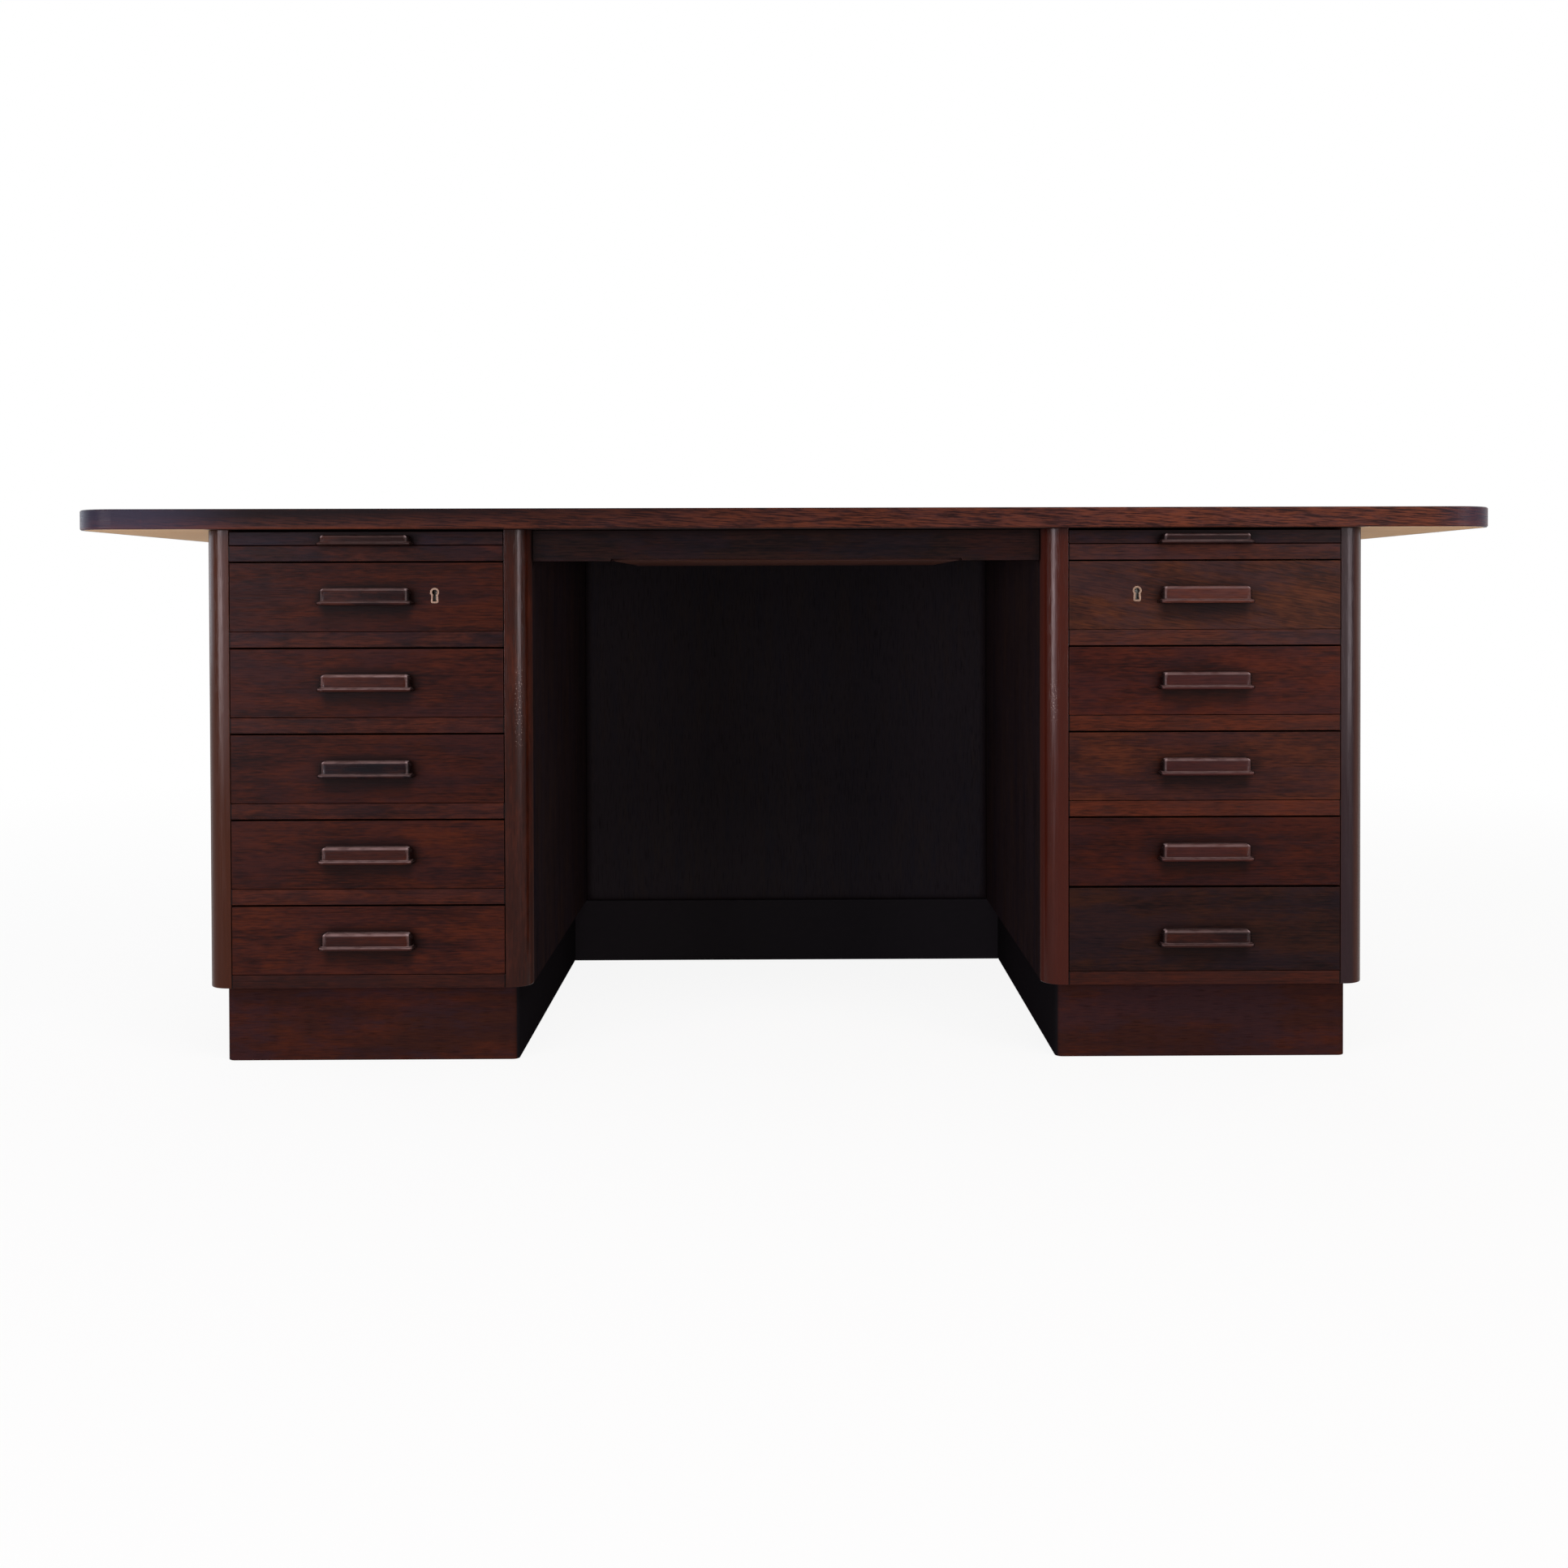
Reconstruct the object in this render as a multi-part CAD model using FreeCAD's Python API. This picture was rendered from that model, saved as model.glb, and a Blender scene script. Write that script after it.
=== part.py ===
import FreeCAD, Part
import math
import os

# Twin pedestal desk in dark veneered wood, made of separate boards with real joinery.
# Millimetres, +Z up, the drawers face -Y. The origin is on the floor under the middle of the top.
# Everything is modelled for the right pedestal; the left one is its mirror image.

Vector = FreeCAD.Vector

# Overall
top_width = 1922.0
top_depth = 844.0
desk_height = 751.0
overrun = 5.0
joint_clearance = 0.1

# Top: a pale blockboard core, a dark face veneer and a thin bent lipping
top_thickness = 27.0
top_corner_radius = 60.0
front_overhang = 22.0
lipping_thickness = 5.0
lipping_arris = 1.5
end_strip_run = 40.0
face_veneer = 1.5

# Pedestal carcasses
end_overhang = 175.5
pedestal_width = 438.0
pedestal_depth = 740.0
post_size = 34.0
post_flat = 6.0
side_thickness = 20.0
back_thickness = 16.0
back_inset = 2.0
bottom_thickness = 18.0
rail_height = 21.0
tongue_thickness = 6.0
tongue_length = 8.0
tenon_length = 12.0
tenon_thickness = 8.0
tenon_back_inset = 3.0
tenon_shoulder = 4.0
top_tenon_width = 16.0
top_tenon_thickness = 8.0
top_tenon_in_post = 20.0
top_tenon_in_top = 14.0
top_tenon_place_share = 0.6

# Plinth and modesty panel
plinth_height = 104.0
plinth_board = 18.0
plinth_front_recess = 25.0
plinth_rear_recess = 25.0
plinth_side_recess = 20.0
plinth_corner_radius = 10.0
modesty_thickness = 16.0
rear_plinth_step = 6.0

# Drawers
drawers_per_pedestal = 5
front_thickness = 20.0
front_gap = 1.0
front_top_gap = 2.2
front_foot_gap = 0.6
run_clearance = 0.2
drawer_rear_room = 42.0
drawer_headroom = 8.8
drawer_side = 12.0
drawer_back = 12.0
drawer_back_inset = 8.0
drawer_bottom = 5.0
drawer_bottom_rise = 9.0
groove_depth = 5.0
dado_depth = 4.0
tail_count = 3
tail_length = 14.0
tail_root_share = 0.6
tail_slope_share = 1 / 6

# Runners, guides and stops inside the pedestals
runner_width = 30.0
guide_height = 24.0
stop_width = 25.0
stop_height = 6.0
stop_spacing = 200.0
stop_gap = 0.3

# Writing slides above the top drawers
slide_opening_height = 22.0
slide_top_gap = 3.0
slide_headroom = 3.8
slide_front_depth = 20.0
slide_pull_drop = 4.0

# Shallow pencil drawer over the kneehole, hung on side battens
pencil_front_thickness = 22.0
pencil_depth = 480.0
pencil_box_share = 0.69
pencil_side = 14.0
pencil_bottom = 5.0
pencil_bottom_rise = 1.0
pencil_headroom = 4.0
pencil_side_gap = 0.3
pencil_hanger_width = 30.0
pencil_hanger_height = 28.0
batten_height = 8.0
batten_reach = 7.0
finger_cove = 12.0
finger_relief = 3.0

# Carved pulls
pull_body_length = 122.0
pull_lip_length = 130.0
pull_height = 23.0
pull_lip_height = 4.5
pull_body_projection = 18.0
pull_lip_projection = 22.0
pull_end_radius = 9.0
pull_corner_radius = 9.5
pull_edge_radius = 5.5
pull_lip_corner = 11.0
pull_wall = 6.0
pull_roof = 6.0
pull_end_wall = 11.0
scoop_bevel = 4.0
slide_pull_height = 14.0
slide_pull_lip_height = 4.0
slide_pull_corner_radius = 6.5
slide_pull_edge_radius = 4.5
slide_pull_roof = 4.0
slide_scoop_bevel = 2.5

# Locks in the two top drawers
lock_offset = 92.0
key_rise = 5.5
keyhole_radius = 3.5
keyhole_neck = 3.4
keyhole_foot = 5.4
keyhole_drop = 12.2
escutcheon_wall = 2.7
escutcheon_depth = 3.0
escutcheon_proud = 0.3
lock_case_width = 50.0
lock_case_margin = 7.5
lock_case_depth = 9.0
lock_plate_width = 64.0
lock_plate_thickness = 2.0
lock_key_recess = 5.0
key_pin_diameter = 2.0
bolt_width = 20.0
bolt_thickness = 5.0
bolt_length = 24.0
bolt_travel = 8.0
bolt_clearance = 0.3
keeper_clearance = 1.0

# Places that follow from the sizes
carcass_top = desk_height - top_thickness
carcass_height = carcass_top - plinth_height
front_plane = front_overhang - top_depth / 2
front_back = front_plane + front_thickness
rear_plane = front_plane + pedestal_depth
outer_x = top_width / 2 - end_overhang
inner_x = outer_x - pedestal_width
post_rounding = post_size - post_flat
rail_back = front_plane + post_size
rear_post_front = rear_plane - post_size
back_front = rear_plane - back_inset - back_thickness
opening_left = inner_x + post_size
opening_right = outer_x - post_size
opening_middle = (opening_left + opening_right) / 2
slide_floor = carcass_top - slide_opening_height
drawer_space = slide_floor - plinth_height - bottom_thickness
opening_pitch = drawer_space / drawers_per_pedestal
opening_height = opening_pitch - rail_height
drawer_left = opening_left + front_gap
drawer_right = opening_right - front_gap
drawer_rear = back_front - drawer_rear_room
drawer_side_height = opening_height - drawer_headroom
modesty_front = rear_post_front - modesty_thickness
bolt_depth = front_back - lock_case_depth / 2
lock_x = opening_middle - lock_offset

SIDES = ("left", "right")
LAPPED_FRONT = ("right", drawers_per_pedestal - 1)


# Helpers

def block(x0, x1, y0, y1, z0, z1):
    """A rectangular board between two corners."""
    return Part.makeBox(x1 - x0, y1 - y0, z1 - z0, Vector(x0, y0, z0))


def line(start, end):
    return Part.LineSegment(start, end).toShape()


def prism(points, along):
    """A polygon pushed along a vector."""
    return Part.Face(Part.makePolygon(points + points[:1])).extrude(along)


def rounded_prism(points, radii, along):
    """A polygon with its corners rounded by the given radii, pushed along a vector."""
    edges = []
    starts = []
    ends = []
    count = len(points)
    for index, point in enumerate(points):
        back = (points[index - 1] - point).normalize()
        ahead = (points[(index + 1) % count] - point).normalize()
        turn = math.pi - back.getAngle(ahead)
        reach = radii[index] * math.tan(turn / 2)
        starts.append(point + back * reach)
        ends.append(point + ahead * reach)
        if radii[index] > 0:
            inward = (back + ahead).normalize()
            middle = point + inward * (radii[index] * (1 / math.cos(turn / 2) - 1))
            edges.append(Part.Arc(starts[index], middle, ends[index]).toShape())
    for index in range(count):
        edges.append(line(ends[index], starts[(index + 1) % count]))
    return Part.Face(Part.Wire(Part.__sortEdges__(edges))).extrude(along)


def sided(shape, side):
    """The shape as modelled on the right, or its mirror image on the left."""
    if side == "right":
        return shape
    return shape.mirror(Vector(), Vector(1, 0, 0))


def both_sides(shapes):
    """A group with every shape on the right and its mirror image on the left."""
    return Part.makeCompound([sided(shape, side) for side in SIDES for shape in shapes])


def opening_floor(index):
    """Height of the surface that the drawer runs on, counted from the top drawer."""
    return slide_floor - (index + 1) * opening_pitch


# Top

def top_outline(inset, floor, height):
    """A slab with the plan of the top, taken in all round."""
    x, y = top_width / 2 - inset, top_depth / 2 - inset
    corners = [Vector(-x, -y, floor), Vector(x, -y, floor), Vector(x, y, floor), Vector(-x, y, floor)]
    radius = top_corner_radius - inset
    return rounded_prism(corners, [radius] * len(corners), Vector(0, 0, height))


def loose_tenons(extra):
    """Loose tenons, one over each post of the right pedestal, or with extra the mortises for them."""
    reach = post_size * top_tenon_place_share
    half_width, half_depth = top_tenon_width / 2 + extra, top_tenon_thickness / 2 + extra
    low, high = carcass_top - top_tenon_in_post - extra, carcass_top + top_tenon_in_top + extra
    return [block(x - half_width, x + half_width, y - half_depth, y + half_depth, low, high)
            for x in (inner_x + reach, outer_x - reach)
            for y in (front_plane + reach, rear_plane - reach)]


def top_core():
    core = top_outline(lipping_thickness, carcass_top, top_thickness - face_veneer)
    return core.cut(both_sides(loose_tenons(joint_clearance)))


def top_veneer():
    return top_outline(lipping_thickness, desk_height - face_veneer, face_veneer)


def top_lipping():
    """Edge strips: two straight ones and two that bend round the corners at the ends."""
    slab = top_outline(0, carcass_top, top_thickness)
    arrises = [edge for edge in slab.Edges if edge.BoundBox.ZLength < lipping_arris]
    ring = slab.makeChamfer(lipping_arris, arrises)
    inner = top_outline(lipping_thickness, carcass_top - overrun, top_thickness + 2 * overrun)
    ring = ring.cut(inner)
    straight = top_width / 2 - top_corner_radius - end_strip_run
    end, depth = top_width / 2 + overrun, top_depth / 2 + overrun
    low, high = carcass_top - overrun, desk_height + overrun
    spans = [(-straight, straight, -depth, 0), (-straight, straight, 0, depth),
             (-end, -straight, -depth, depth), (straight, end, -depth, depth)]
    return Part.makeCompound([ring.common(block(*span, low, high)) for span in spans])


def top_tenons():
    return both_sides(loose_tenons(0))


# Pedestal carcass

def rounded_post(corner_x, corner_y, way_x, way_y):
    """Post with its exposed corner rounded; the ways point from that corner into the post."""
    def at(u, v):
        return Vector(corner_x + way_x * u, corner_y + way_y * v, plinth_height)

    corners = [at(0, 0), at(post_size, 0), at(post_size, post_size), at(0, post_size)]
    post = rounded_prism(corners, [post_rounding, 0, 0, 0], Vector(0, 0, carcass_height))
    groove_near = (side_thickness - tongue_thickness) / 2 - joint_clearance
    groove_far = groove_near + tongue_thickness + 2 * joint_clearance
    depth = tongue_length + joint_clearance
    foot, head = at(groove_near, post_size - depth), at(groove_far, post_size + overrun)
    groove = block(min(foot.x, head.x), max(foot.x, head.x), min(foot.y, head.y), max(foot.y, head.y),
                   plinth_height - overrun, carcass_top + overrun)
    return post.cut(groove)


def rail_levels():
    """Bottom and height of each front rail, from the one under the slide to the bottom rail."""
    rails = [(slide_floor - rail_height - index * opening_pitch, rail_height)
             for index in range(drawers_per_pedestal)]
    return rails + [(plinth_height, bottom_thickness)]


def rail_tenons(floor, height, extra):
    """The stub tenons at both ends of a rail, or with extra the mortises that take them."""
    back = rail_back - tenon_back_inset + extra
    front = back - tenon_thickness - 2 * extra
    low, high = floor + tenon_shoulder - extra, floor + height - tenon_shoulder + extra
    reach = tenon_length + extra
    return block(opening_left - reach, opening_right + reach, front, back, low, high)


def front_posts():
    mortises = [rail_tenons(floor, height, joint_clearance) for floor, height in rail_levels()]
    posts = [rounded_post(inner_x, front_plane, 1, 1), rounded_post(outer_x, front_plane, -1, 1)]
    return both_sides([post.cut(mortises + loose_tenons(joint_clearance)) for post in posts])


def rear_posts():
    posts = [rounded_post(inner_x, rear_plane, 1, -1), rounded_post(outer_x, rear_plane, -1, -1)]
    return both_sides([post.cut(loose_tenons(joint_clearance)) for post in posts])


def side_panel(face_x, inward):
    """Side panel between the posts, with a tongue along each upright edge."""
    def at(u, y):
        return Vector(face_x + inward * u, y, plinth_height)

    near = (side_thickness - tongue_thickness) / 2
    far = near + tongue_thickness
    front, rear = rail_back, rear_post_front
    points = [at(0, front), at(near, front), at(near, front - tongue_length), at(far, front - tongue_length),
              at(far, front), at(side_thickness, front), at(side_thickness, rear), at(far, rear),
              at(far, rear + tongue_length), at(near, rear + tongue_length), at(near, rear), at(0, rear)]
    return prism(points, Vector(0, 0, carcass_height))


def rails(side):
    """Front rails with stub tenons. A lapped drawer front needs the rail behind it set back."""
    made = []
    for index, (floor, height) in enumerate(rail_levels()):
        front = front_plane
        if (side, index) == LAPPED_FRONT:
            front = front_back + stop_gap
        rail = block(opening_left, opening_right, front, rail_back, floor, floor + height)
        rail = rail.fuse(rail_tenons(floor, height, 0)).removeSplitter()
        if index == 0:
            rail = rail.cut(bolt_keeper())
        made.append(sided(rail, side))
    return Part.makeCompound(made)


def pedestal_backs():
    return both_sides([block(opening_left, opening_right, back_front, back_front + back_thickness,
                             plinth_height, carcass_top)])


def pedestal_bottoms():
    """Bottom boards behind the bottom rail, notched round the rear posts."""
    left, right = inner_x + side_thickness, outer_x - side_thickness
    plan = [(left, rail_back), (right, rail_back), (right, rear_post_front), (opening_right, rear_post_front),
            (opening_right, back_front), (opening_left, back_front), (opening_left, rear_post_front),
            (left, rear_post_front)]
    points = [Vector(x, y, plinth_height) for x, y in plan]
    return both_sides([prism(points, Vector(0, 0, bottom_thickness))])


def runner(wall_x, inward, floor, ledge_height, guide):
    """L-shaped runner: a ledge that carries the drawer side and an upstand that guides it."""
    def at(u, z):
        return Vector(wall_x + inward * u, rail_back, z)

    guide_width = post_size - side_thickness
    if ledge_height > 0:
        foot = floor - ledge_height
        points = [at(0, foot), at(runner_width, foot), at(runner_width, floor), at(guide_width, floor),
                  at(guide_width, floor + guide), at(0, floor + guide)]
    else:
        points = [at(0, floor), at(guide_width, floor), at(guide_width, floor + guide), at(0, floor + guide)]
    return prism(points, Vector(0, rear_post_front - rail_back, 0))


def pencil_hanger():
    """Block under the top beside the pencil drawer, with the batten that the drawer hangs on."""
    top = carcass_top
    foot = top - pencil_hanger_height
    low, high = batten_floor(), batten_floor() + batten_height
    inner = pencil_half() + pencil_side_gap
    outer = inner + pencil_hanger_width
    plan = [(outer, foot), (outer, top), (inner, top), (inner, high), (inner - batten_reach, high),
            (inner - batten_reach, low), (inner, low), (inner, foot)]
    points = [Vector(x, pencil_back(), z) for x, z in plan]
    return prism(points, Vector(0, pencil_rear() - pencil_back(), 0))


def drawer_runners():
    made = []
    for wall_x, inward in ((inner_x + side_thickness, 1), (outer_x - side_thickness, -1)):
        made.append(runner(wall_x, inward, slide_floor, rail_height, slide_opening_height - slide_headroom))
        for index in range(drawers_per_pedestal):
            ledge_height = 0 if index == drawers_per_pedestal - 1 else rail_height
            made.append(runner(wall_x, inward, opening_floor(index), ledge_height, guide_height))
    return both_sides(made + [pencil_hanger()])


def drawer_stops():
    """Small blocks on the rails that the drawer fronts close against."""
    made = []
    for index in range(drawers_per_pedestal):
        floor = opening_floor(index)
        for way in (-1, 1):
            middle = opening_middle + way * stop_spacing / 2
            made.append(block(middle - stop_width / 2, middle + stop_width / 2,
                              front_back + stop_gap, rail_back, floor, floor + stop_height))
    return both_sides(made)


# Plinth and modesty panel

def plinth():
    """Boards under each pedestal, with rounded corners, and the board across the back of the kneehole."""
    left, right = inner_x + plinth_side_recess, outer_x - plinth_side_recess
    front, rear = front_plane + plinth_front_recess, rear_plane - plinth_rear_recess
    up = Vector(0, 0, plinth_height)

    def end_board(face, way):
        back = face + way * plinth_board
        corners = [Vector(left, face), Vector(right, face), Vector(right, back), Vector(left, back)]
        return rounded_prism(corners, [plinth_corner_radius, plinth_corner_radius, 0, 0], up)

    boards = [end_board(front, 1), end_board(rear, -1)]
    reach = plinth_board + joint_clearance
    for x in (left, right - plinth_board):
        boards.append(block(x, x + plinth_board, front + reach, rear - reach, 0, plinth_height))
    rear_board = block(-left, left, modesty_front - rear_plinth_step, rear_post_front, 0, plinth_height)
    return Part.makeCompound([sided(board, side) for side in SIDES for board in boards] + [rear_board])


def modesty_panel():
    return block(-inner_x, inner_x, modesty_front, rear_post_front, plinth_height, carcass_top)


# Drawers

def tail_shapes(floor, height, x0, x1):
    """Dovetail tails at the front end of a drawer side, widening towards the drawer front."""
    pitch = height / tail_count
    root = pitch * tail_root_share / 2
    tip = root + tail_length * tail_slope_share
    tails = []
    for index in range(tail_count):
        middle = floor + pitch * (index + 1 / 2)
        points = [Vector(x0, front_back, middle - root), Vector(x0, front_back, middle + root),
                  Vector(x0, front_back - tail_length, middle + tip),
                  Vector(x0, front_back - tail_length, middle - tip)]
        tails.append(prism(points, Vector(x1 - x0, 0, 0)))
    return tails


def drawer_tails(index):
    """The tails of both sides of a drawer, which are also the sockets in its front."""
    floor = opening_floor(index) + run_clearance
    return [tail for x in (drawer_left, drawer_right - drawer_side)
            for tail in tail_shapes(floor, drawer_side_height, x, x + drawer_side)]


def drawer_bottom_panel(index, extra):
    """The bottom panel in its grooves, or with extra the room that the grooves leave for it."""
    floor = opening_floor(index) + run_clearance + drawer_bottom_rise
    reach = groove_depth - joint_clearance + extra
    return block(drawer_left + drawer_side - reach, drawer_right - drawer_side + reach,
                 front_back - reach, drawer_rear, floor - extra, floor + drawer_bottom + extra)


def drawer_back_board(index, extra):
    """The back board, which stands on the bottom panel, or with extra the dadoes that take its ends."""
    floor = opening_floor(index) + run_clearance
    rear = drawer_rear - drawer_back_inset + extra
    reach = dado_depth - joint_clearance + extra
    return block(drawer_left + drawer_side - reach, drawer_right - drawer_side + reach,
                 rear - drawer_back - 2 * extra, rear,
                 floor + drawer_bottom_rise + drawer_bottom + joint_clearance - extra,
                 floor + drawer_side_height)


def drawer_box(index):
    """Dovetailed sides, a back housed in them and a bottom panel in grooves."""
    floor = opening_floor(index) + run_clearance
    groove = drawer_bottom_panel(index, joint_clearance)
    dado = drawer_back_board(index, joint_clearance)
    boards = [drawer_back_board(index, 0), drawer_bottom_panel(index, 0)]
    for x in (drawer_left, drawer_right - drawer_side):
        board = block(x, x + drawer_side, front_back, drawer_rear, floor, floor + drawer_side_height)
        tails = tail_shapes(floor, drawer_side_height, x, x + drawer_side)
        boards.append(board.cut([groove, dado]).multiFuse(tails).removeSplitter())
    return Part.makeCompound(boards)


def front_height(side, index):
    """A lapped front also covers the rail above it."""
    lap = rail_height if (side, index) == LAPPED_FRONT else 0
    return opening_height + lap - front_top_gap - front_foot_gap


def drawer_front(side, index):
    floor = opening_floor(index)
    low = floor + front_foot_gap
    front = block(drawer_left, drawer_right, front_plane, front_back, low, low + front_height(side, index))
    inside = block(drawer_left + drawer_side, drawer_right - drawer_side, front_plane, front_back,
                   floor, floor + opening_height)
    groove = drawer_bottom_panel(index, joint_clearance).common(inside)
    front = front.cut(drawer_tails(index) + [groove])
    if index == 0:
        front = front.cut(lock_recesses())
    return front


# Pulls

def pull_hood(height, corner_radius, edge_radius):
    """Body of a pull, rounded in its front view, its plan and its section."""
    low, high = -height / 2, height / 2
    half, face = pull_body_length / 2, -pull_body_projection
    front = [Vector(-half, face, low), Vector(half, face, low), Vector(half, face, high),
             Vector(-half, face, high)]
    plan = [Vector(-half, 0, low), Vector(-half, face, low), Vector(half, face, low), Vector(half, 0, low)]
    section = [Vector(-half, 0, low), Vector(-half, face, low), Vector(-half, face, high),
               Vector(-half, 0, high)]
    hood = rounded_prism(front, [0, 0, corner_radius, corner_radius], Vector(0, -face, 0))
    hood = hood.common(rounded_prism(plan, [0, pull_end_radius, pull_end_radius, 0], Vector(0, 0, height)))
    return hood.common(rounded_prism(section, [0, 0, edge_radius, 0], Vector(pull_body_length, 0, 0)))


def pull(height, lip_height, corner_radius, edge_radius, roof, inner_bevel):
    """Hooded pull carved from one piece: a rounded body over a wider lip, scooped out for the fingers."""
    low, high = -height / 2, height / 2
    body_half, lip_half = pull_body_length / 2, pull_lip_length / 2
    face, lip = -pull_body_projection, -pull_lip_projection
    lip_plan = [Vector(-lip_half, 0, low), Vector(-lip_half, lip, low), Vector(lip_half, lip, low),
                Vector(lip_half, 0, low)]
    ledge = rounded_prism(lip_plan, [0, pull_lip_corner, pull_lip_corner, 0], Vector(0, 0, lip_height))

    scoop_half = body_half - pull_end_wall
    scoop_face = face + pull_wall
    scoop = [Vector(-scoop_half, y, z) for y, z in (
        (overrun, low - overrun), (scoop_face, low - overrun), (scoop_face, high - roof - inner_bevel),
        (scoop_face + inner_bevel, high - roof), (overrun, high - roof))]
    hood = pull_hood(height, corner_radius, edge_radius)
    return hood.fuse(ledge).cut(prism(scoop, Vector(2 * scoop_half, 0, 0))).removeSplitter()


def drawer_pull(index):
    carved = pull(pull_height, pull_lip_height, pull_corner_radius, pull_edge_radius, pull_roof, scoop_bevel)
    return carved.translated(Vector(opening_middle, front_plane, opening_floor(index) + opening_height / 2))


def slide_pull():
    carved = pull(slide_pull_height, slide_pull_lip_height, slide_pull_corner_radius, slide_pull_edge_radius,
                  slide_pull_roof, slide_scoop_bevel)
    height = slide_floor + slide_opening_height / 2 - slide_pull_drop
    return carved.translated(Vector(opening_middle, front_plane, height))


# Writing slides

def writing_slide():
    """A veneered board with a solid edge strip in front; it closes against the pedestal's back."""
    strip_back = front_plane + slide_front_depth
    strip = block(drawer_left, drawer_right, front_plane, strip_back, slide_floor + front_gap,
                  carcass_top - slide_top_gap)
    thickness = slide_opening_height - slide_headroom
    floor = slide_floor + run_clearance
    board = block(drawer_left, drawer_right, strip_back, back_front - stop_gap, floor, floor + thickness)
    return Part.makeCompound([strip, board])


# Pencil drawer

def pencil_front_face():
    return front_plane + post_rounding


def pencil_back():
    return pencil_front_face() + pencil_front_thickness


def pencil_rear():
    return pencil_front_face() + pencil_depth


def pencil_floor():
    """Underside of the pencil drawer's front, level with the underside of the rails beside it."""
    return slide_floor - rail_height


def pencil_half():
    """Half the width of the pencil drawer's box, between the hanger blocks."""
    return inner_x * pencil_box_share


def pencil_side_floor():
    return pencil_floor() + pencil_bottom_rise + pencil_bottom


def batten_floor():
    """The batten is at mid-height of the drawer side."""
    return (pencil_side_floor() + carcass_top - pencil_headroom - batten_height) / 2


def pencil_drawer_front():
    """Plain front; in front of the box its lower edge is raised a little and coved behind for the fingers."""
    front, back, floor = pencil_front_face(), pencil_back(), pencil_floor()
    half = inner_x - front_gap
    board = block(-half, half, front, back, floor, carcass_top - front_gap)
    cove_end = Vector(-pencil_half(), back, floor)
    cove = Part.makeCylinder(finger_cove, 2 * pencil_half(), cove_end, Vector(1, 0, 0))
    relief = block(-pencil_half(), pencil_half(), front, back, floor, floor + finger_relief)
    return board.cut([cove, relief])


def pencil_drawer_box():
    """Grooved sides that hang on the battens, a back and a bottom planted underneath."""
    back, rear, half = pencil_back(), pencil_rear(), pencil_half()
    floor, top = pencil_side_floor(), carcass_top - pencil_headroom
    low = batten_floor() - run_clearance
    high = batten_floor() + batten_height + run_clearance
    groove_x = half - batten_reach - run_clearance
    side = block(half - pencil_side, half, back, rear, floor, top)
    side = side.cut(block(groove_x, half + overrun, back, rear + overrun, low, high))
    back_board = block(-half + pencil_side, half - pencil_side, rear - pencil_side, rear, floor, top)
    bottom = block(-half, half, back, rear, floor - pencil_bottom, floor)
    return Part.makeCompound([side, sided(side, "left"), back_board, bottom])


# Locks

def keyhole(wall, y0, y1):
    """Keyhole outline, taken out by a wall, between two depths: a round head over a slot that flares."""
    z = key_height()
    foot = z - keyhole_drop - wall
    neck_half, foot_half = keyhole_neck / 2 + wall, keyhole_foot / 2 + wall
    along = Vector(0, y1 - y0, 0)
    stem = [Vector(lock_x - neck_half, y0, z), Vector(lock_x - foot_half, y0, foot),
            Vector(lock_x + foot_half, y0, foot), Vector(lock_x + neck_half, y0, z)]
    round_head = Part.makeCylinder(keyhole_radius + wall, y1 - y0, Vector(lock_x, y0, z), Vector(0, 1, 0))
    return rounded_prism(stem, [0, wall, wall, 0], along).fuse(round_head).removeSplitter()


def key_height():
    return opening_floor(0) + opening_height / 2 + key_rise


def lock_top():
    return opening_floor(0) + opening_height - front_top_gap


def lock_body(extra):
    """Case and top plate of the lock, or with extra the recess that takes them."""
    top, back = lock_top(), front_back + (overrun if extra else 0)
    front = front_back - lock_case_depth - extra
    case_half, plate_half = lock_case_width / 2 + extra, lock_plate_width / 2 + extra
    foot = key_height() - keyhole_drop - lock_case_margin - extra
    case = block(lock_x - case_half, lock_x + case_half, front, back, foot, top)
    plate = block(lock_x - plate_half, lock_x + plate_half, front, back,
                  top - lock_plate_thickness - extra, top + (overrun if extra else 0))
    return case.fuse(plate).removeSplitter()


def bolt_block(extra, low, high):
    """A block with the bolt's section, taken out by extra."""
    half_width, half_depth = bolt_width / 2 + extra, bolt_thickness / 2 + extra
    return block(lock_x - half_width, lock_x + half_width, bolt_depth - half_depth, bolt_depth + half_depth,
                 low, high)


def bolt_keeper():
    """Mortise in the rail above the lock, which the raised bolt enters."""
    floor = slide_floor - rail_height
    return bolt_block(keeper_clearance, floor - overrun, lock_top() + bolt_travel + keeper_clearance)


def lock_recesses():
    passage = keyhole(0, front_plane - overrun, front_back)
    seat = keyhole(escutcheon_wall, front_plane - overrun, front_plane + escutcheon_depth - escutcheon_proud)
    return [lock_body(joint_clearance), passage, seat]


def lock_case():
    """Lock case let into the back of the drawer front, with the bolt's channel and the key pin."""
    top = lock_top()
    front = front_back - lock_case_depth
    channel = bolt_block(bolt_clearance, top - bolt_length - 2 * bolt_clearance, top + overrun)
    key_way = block(lock_x - keyhole_radius, lock_x + keyhole_radius, front - overrun, front + lock_key_recess,
                    key_height() - keyhole_drop, key_height() + keyhole_radius)
    pin = Part.makeCylinder(key_pin_diameter / 2, lock_key_recess, Vector(lock_x, front, key_height()),
                            Vector(0, 1, 0))
    return lock_body(0).cut([channel, key_way]).fuse(pin).removeSplitter()


def lock_bolt():
    top = lock_top() - bolt_clearance
    return bolt_block(0, top - bolt_length, top)


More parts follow.
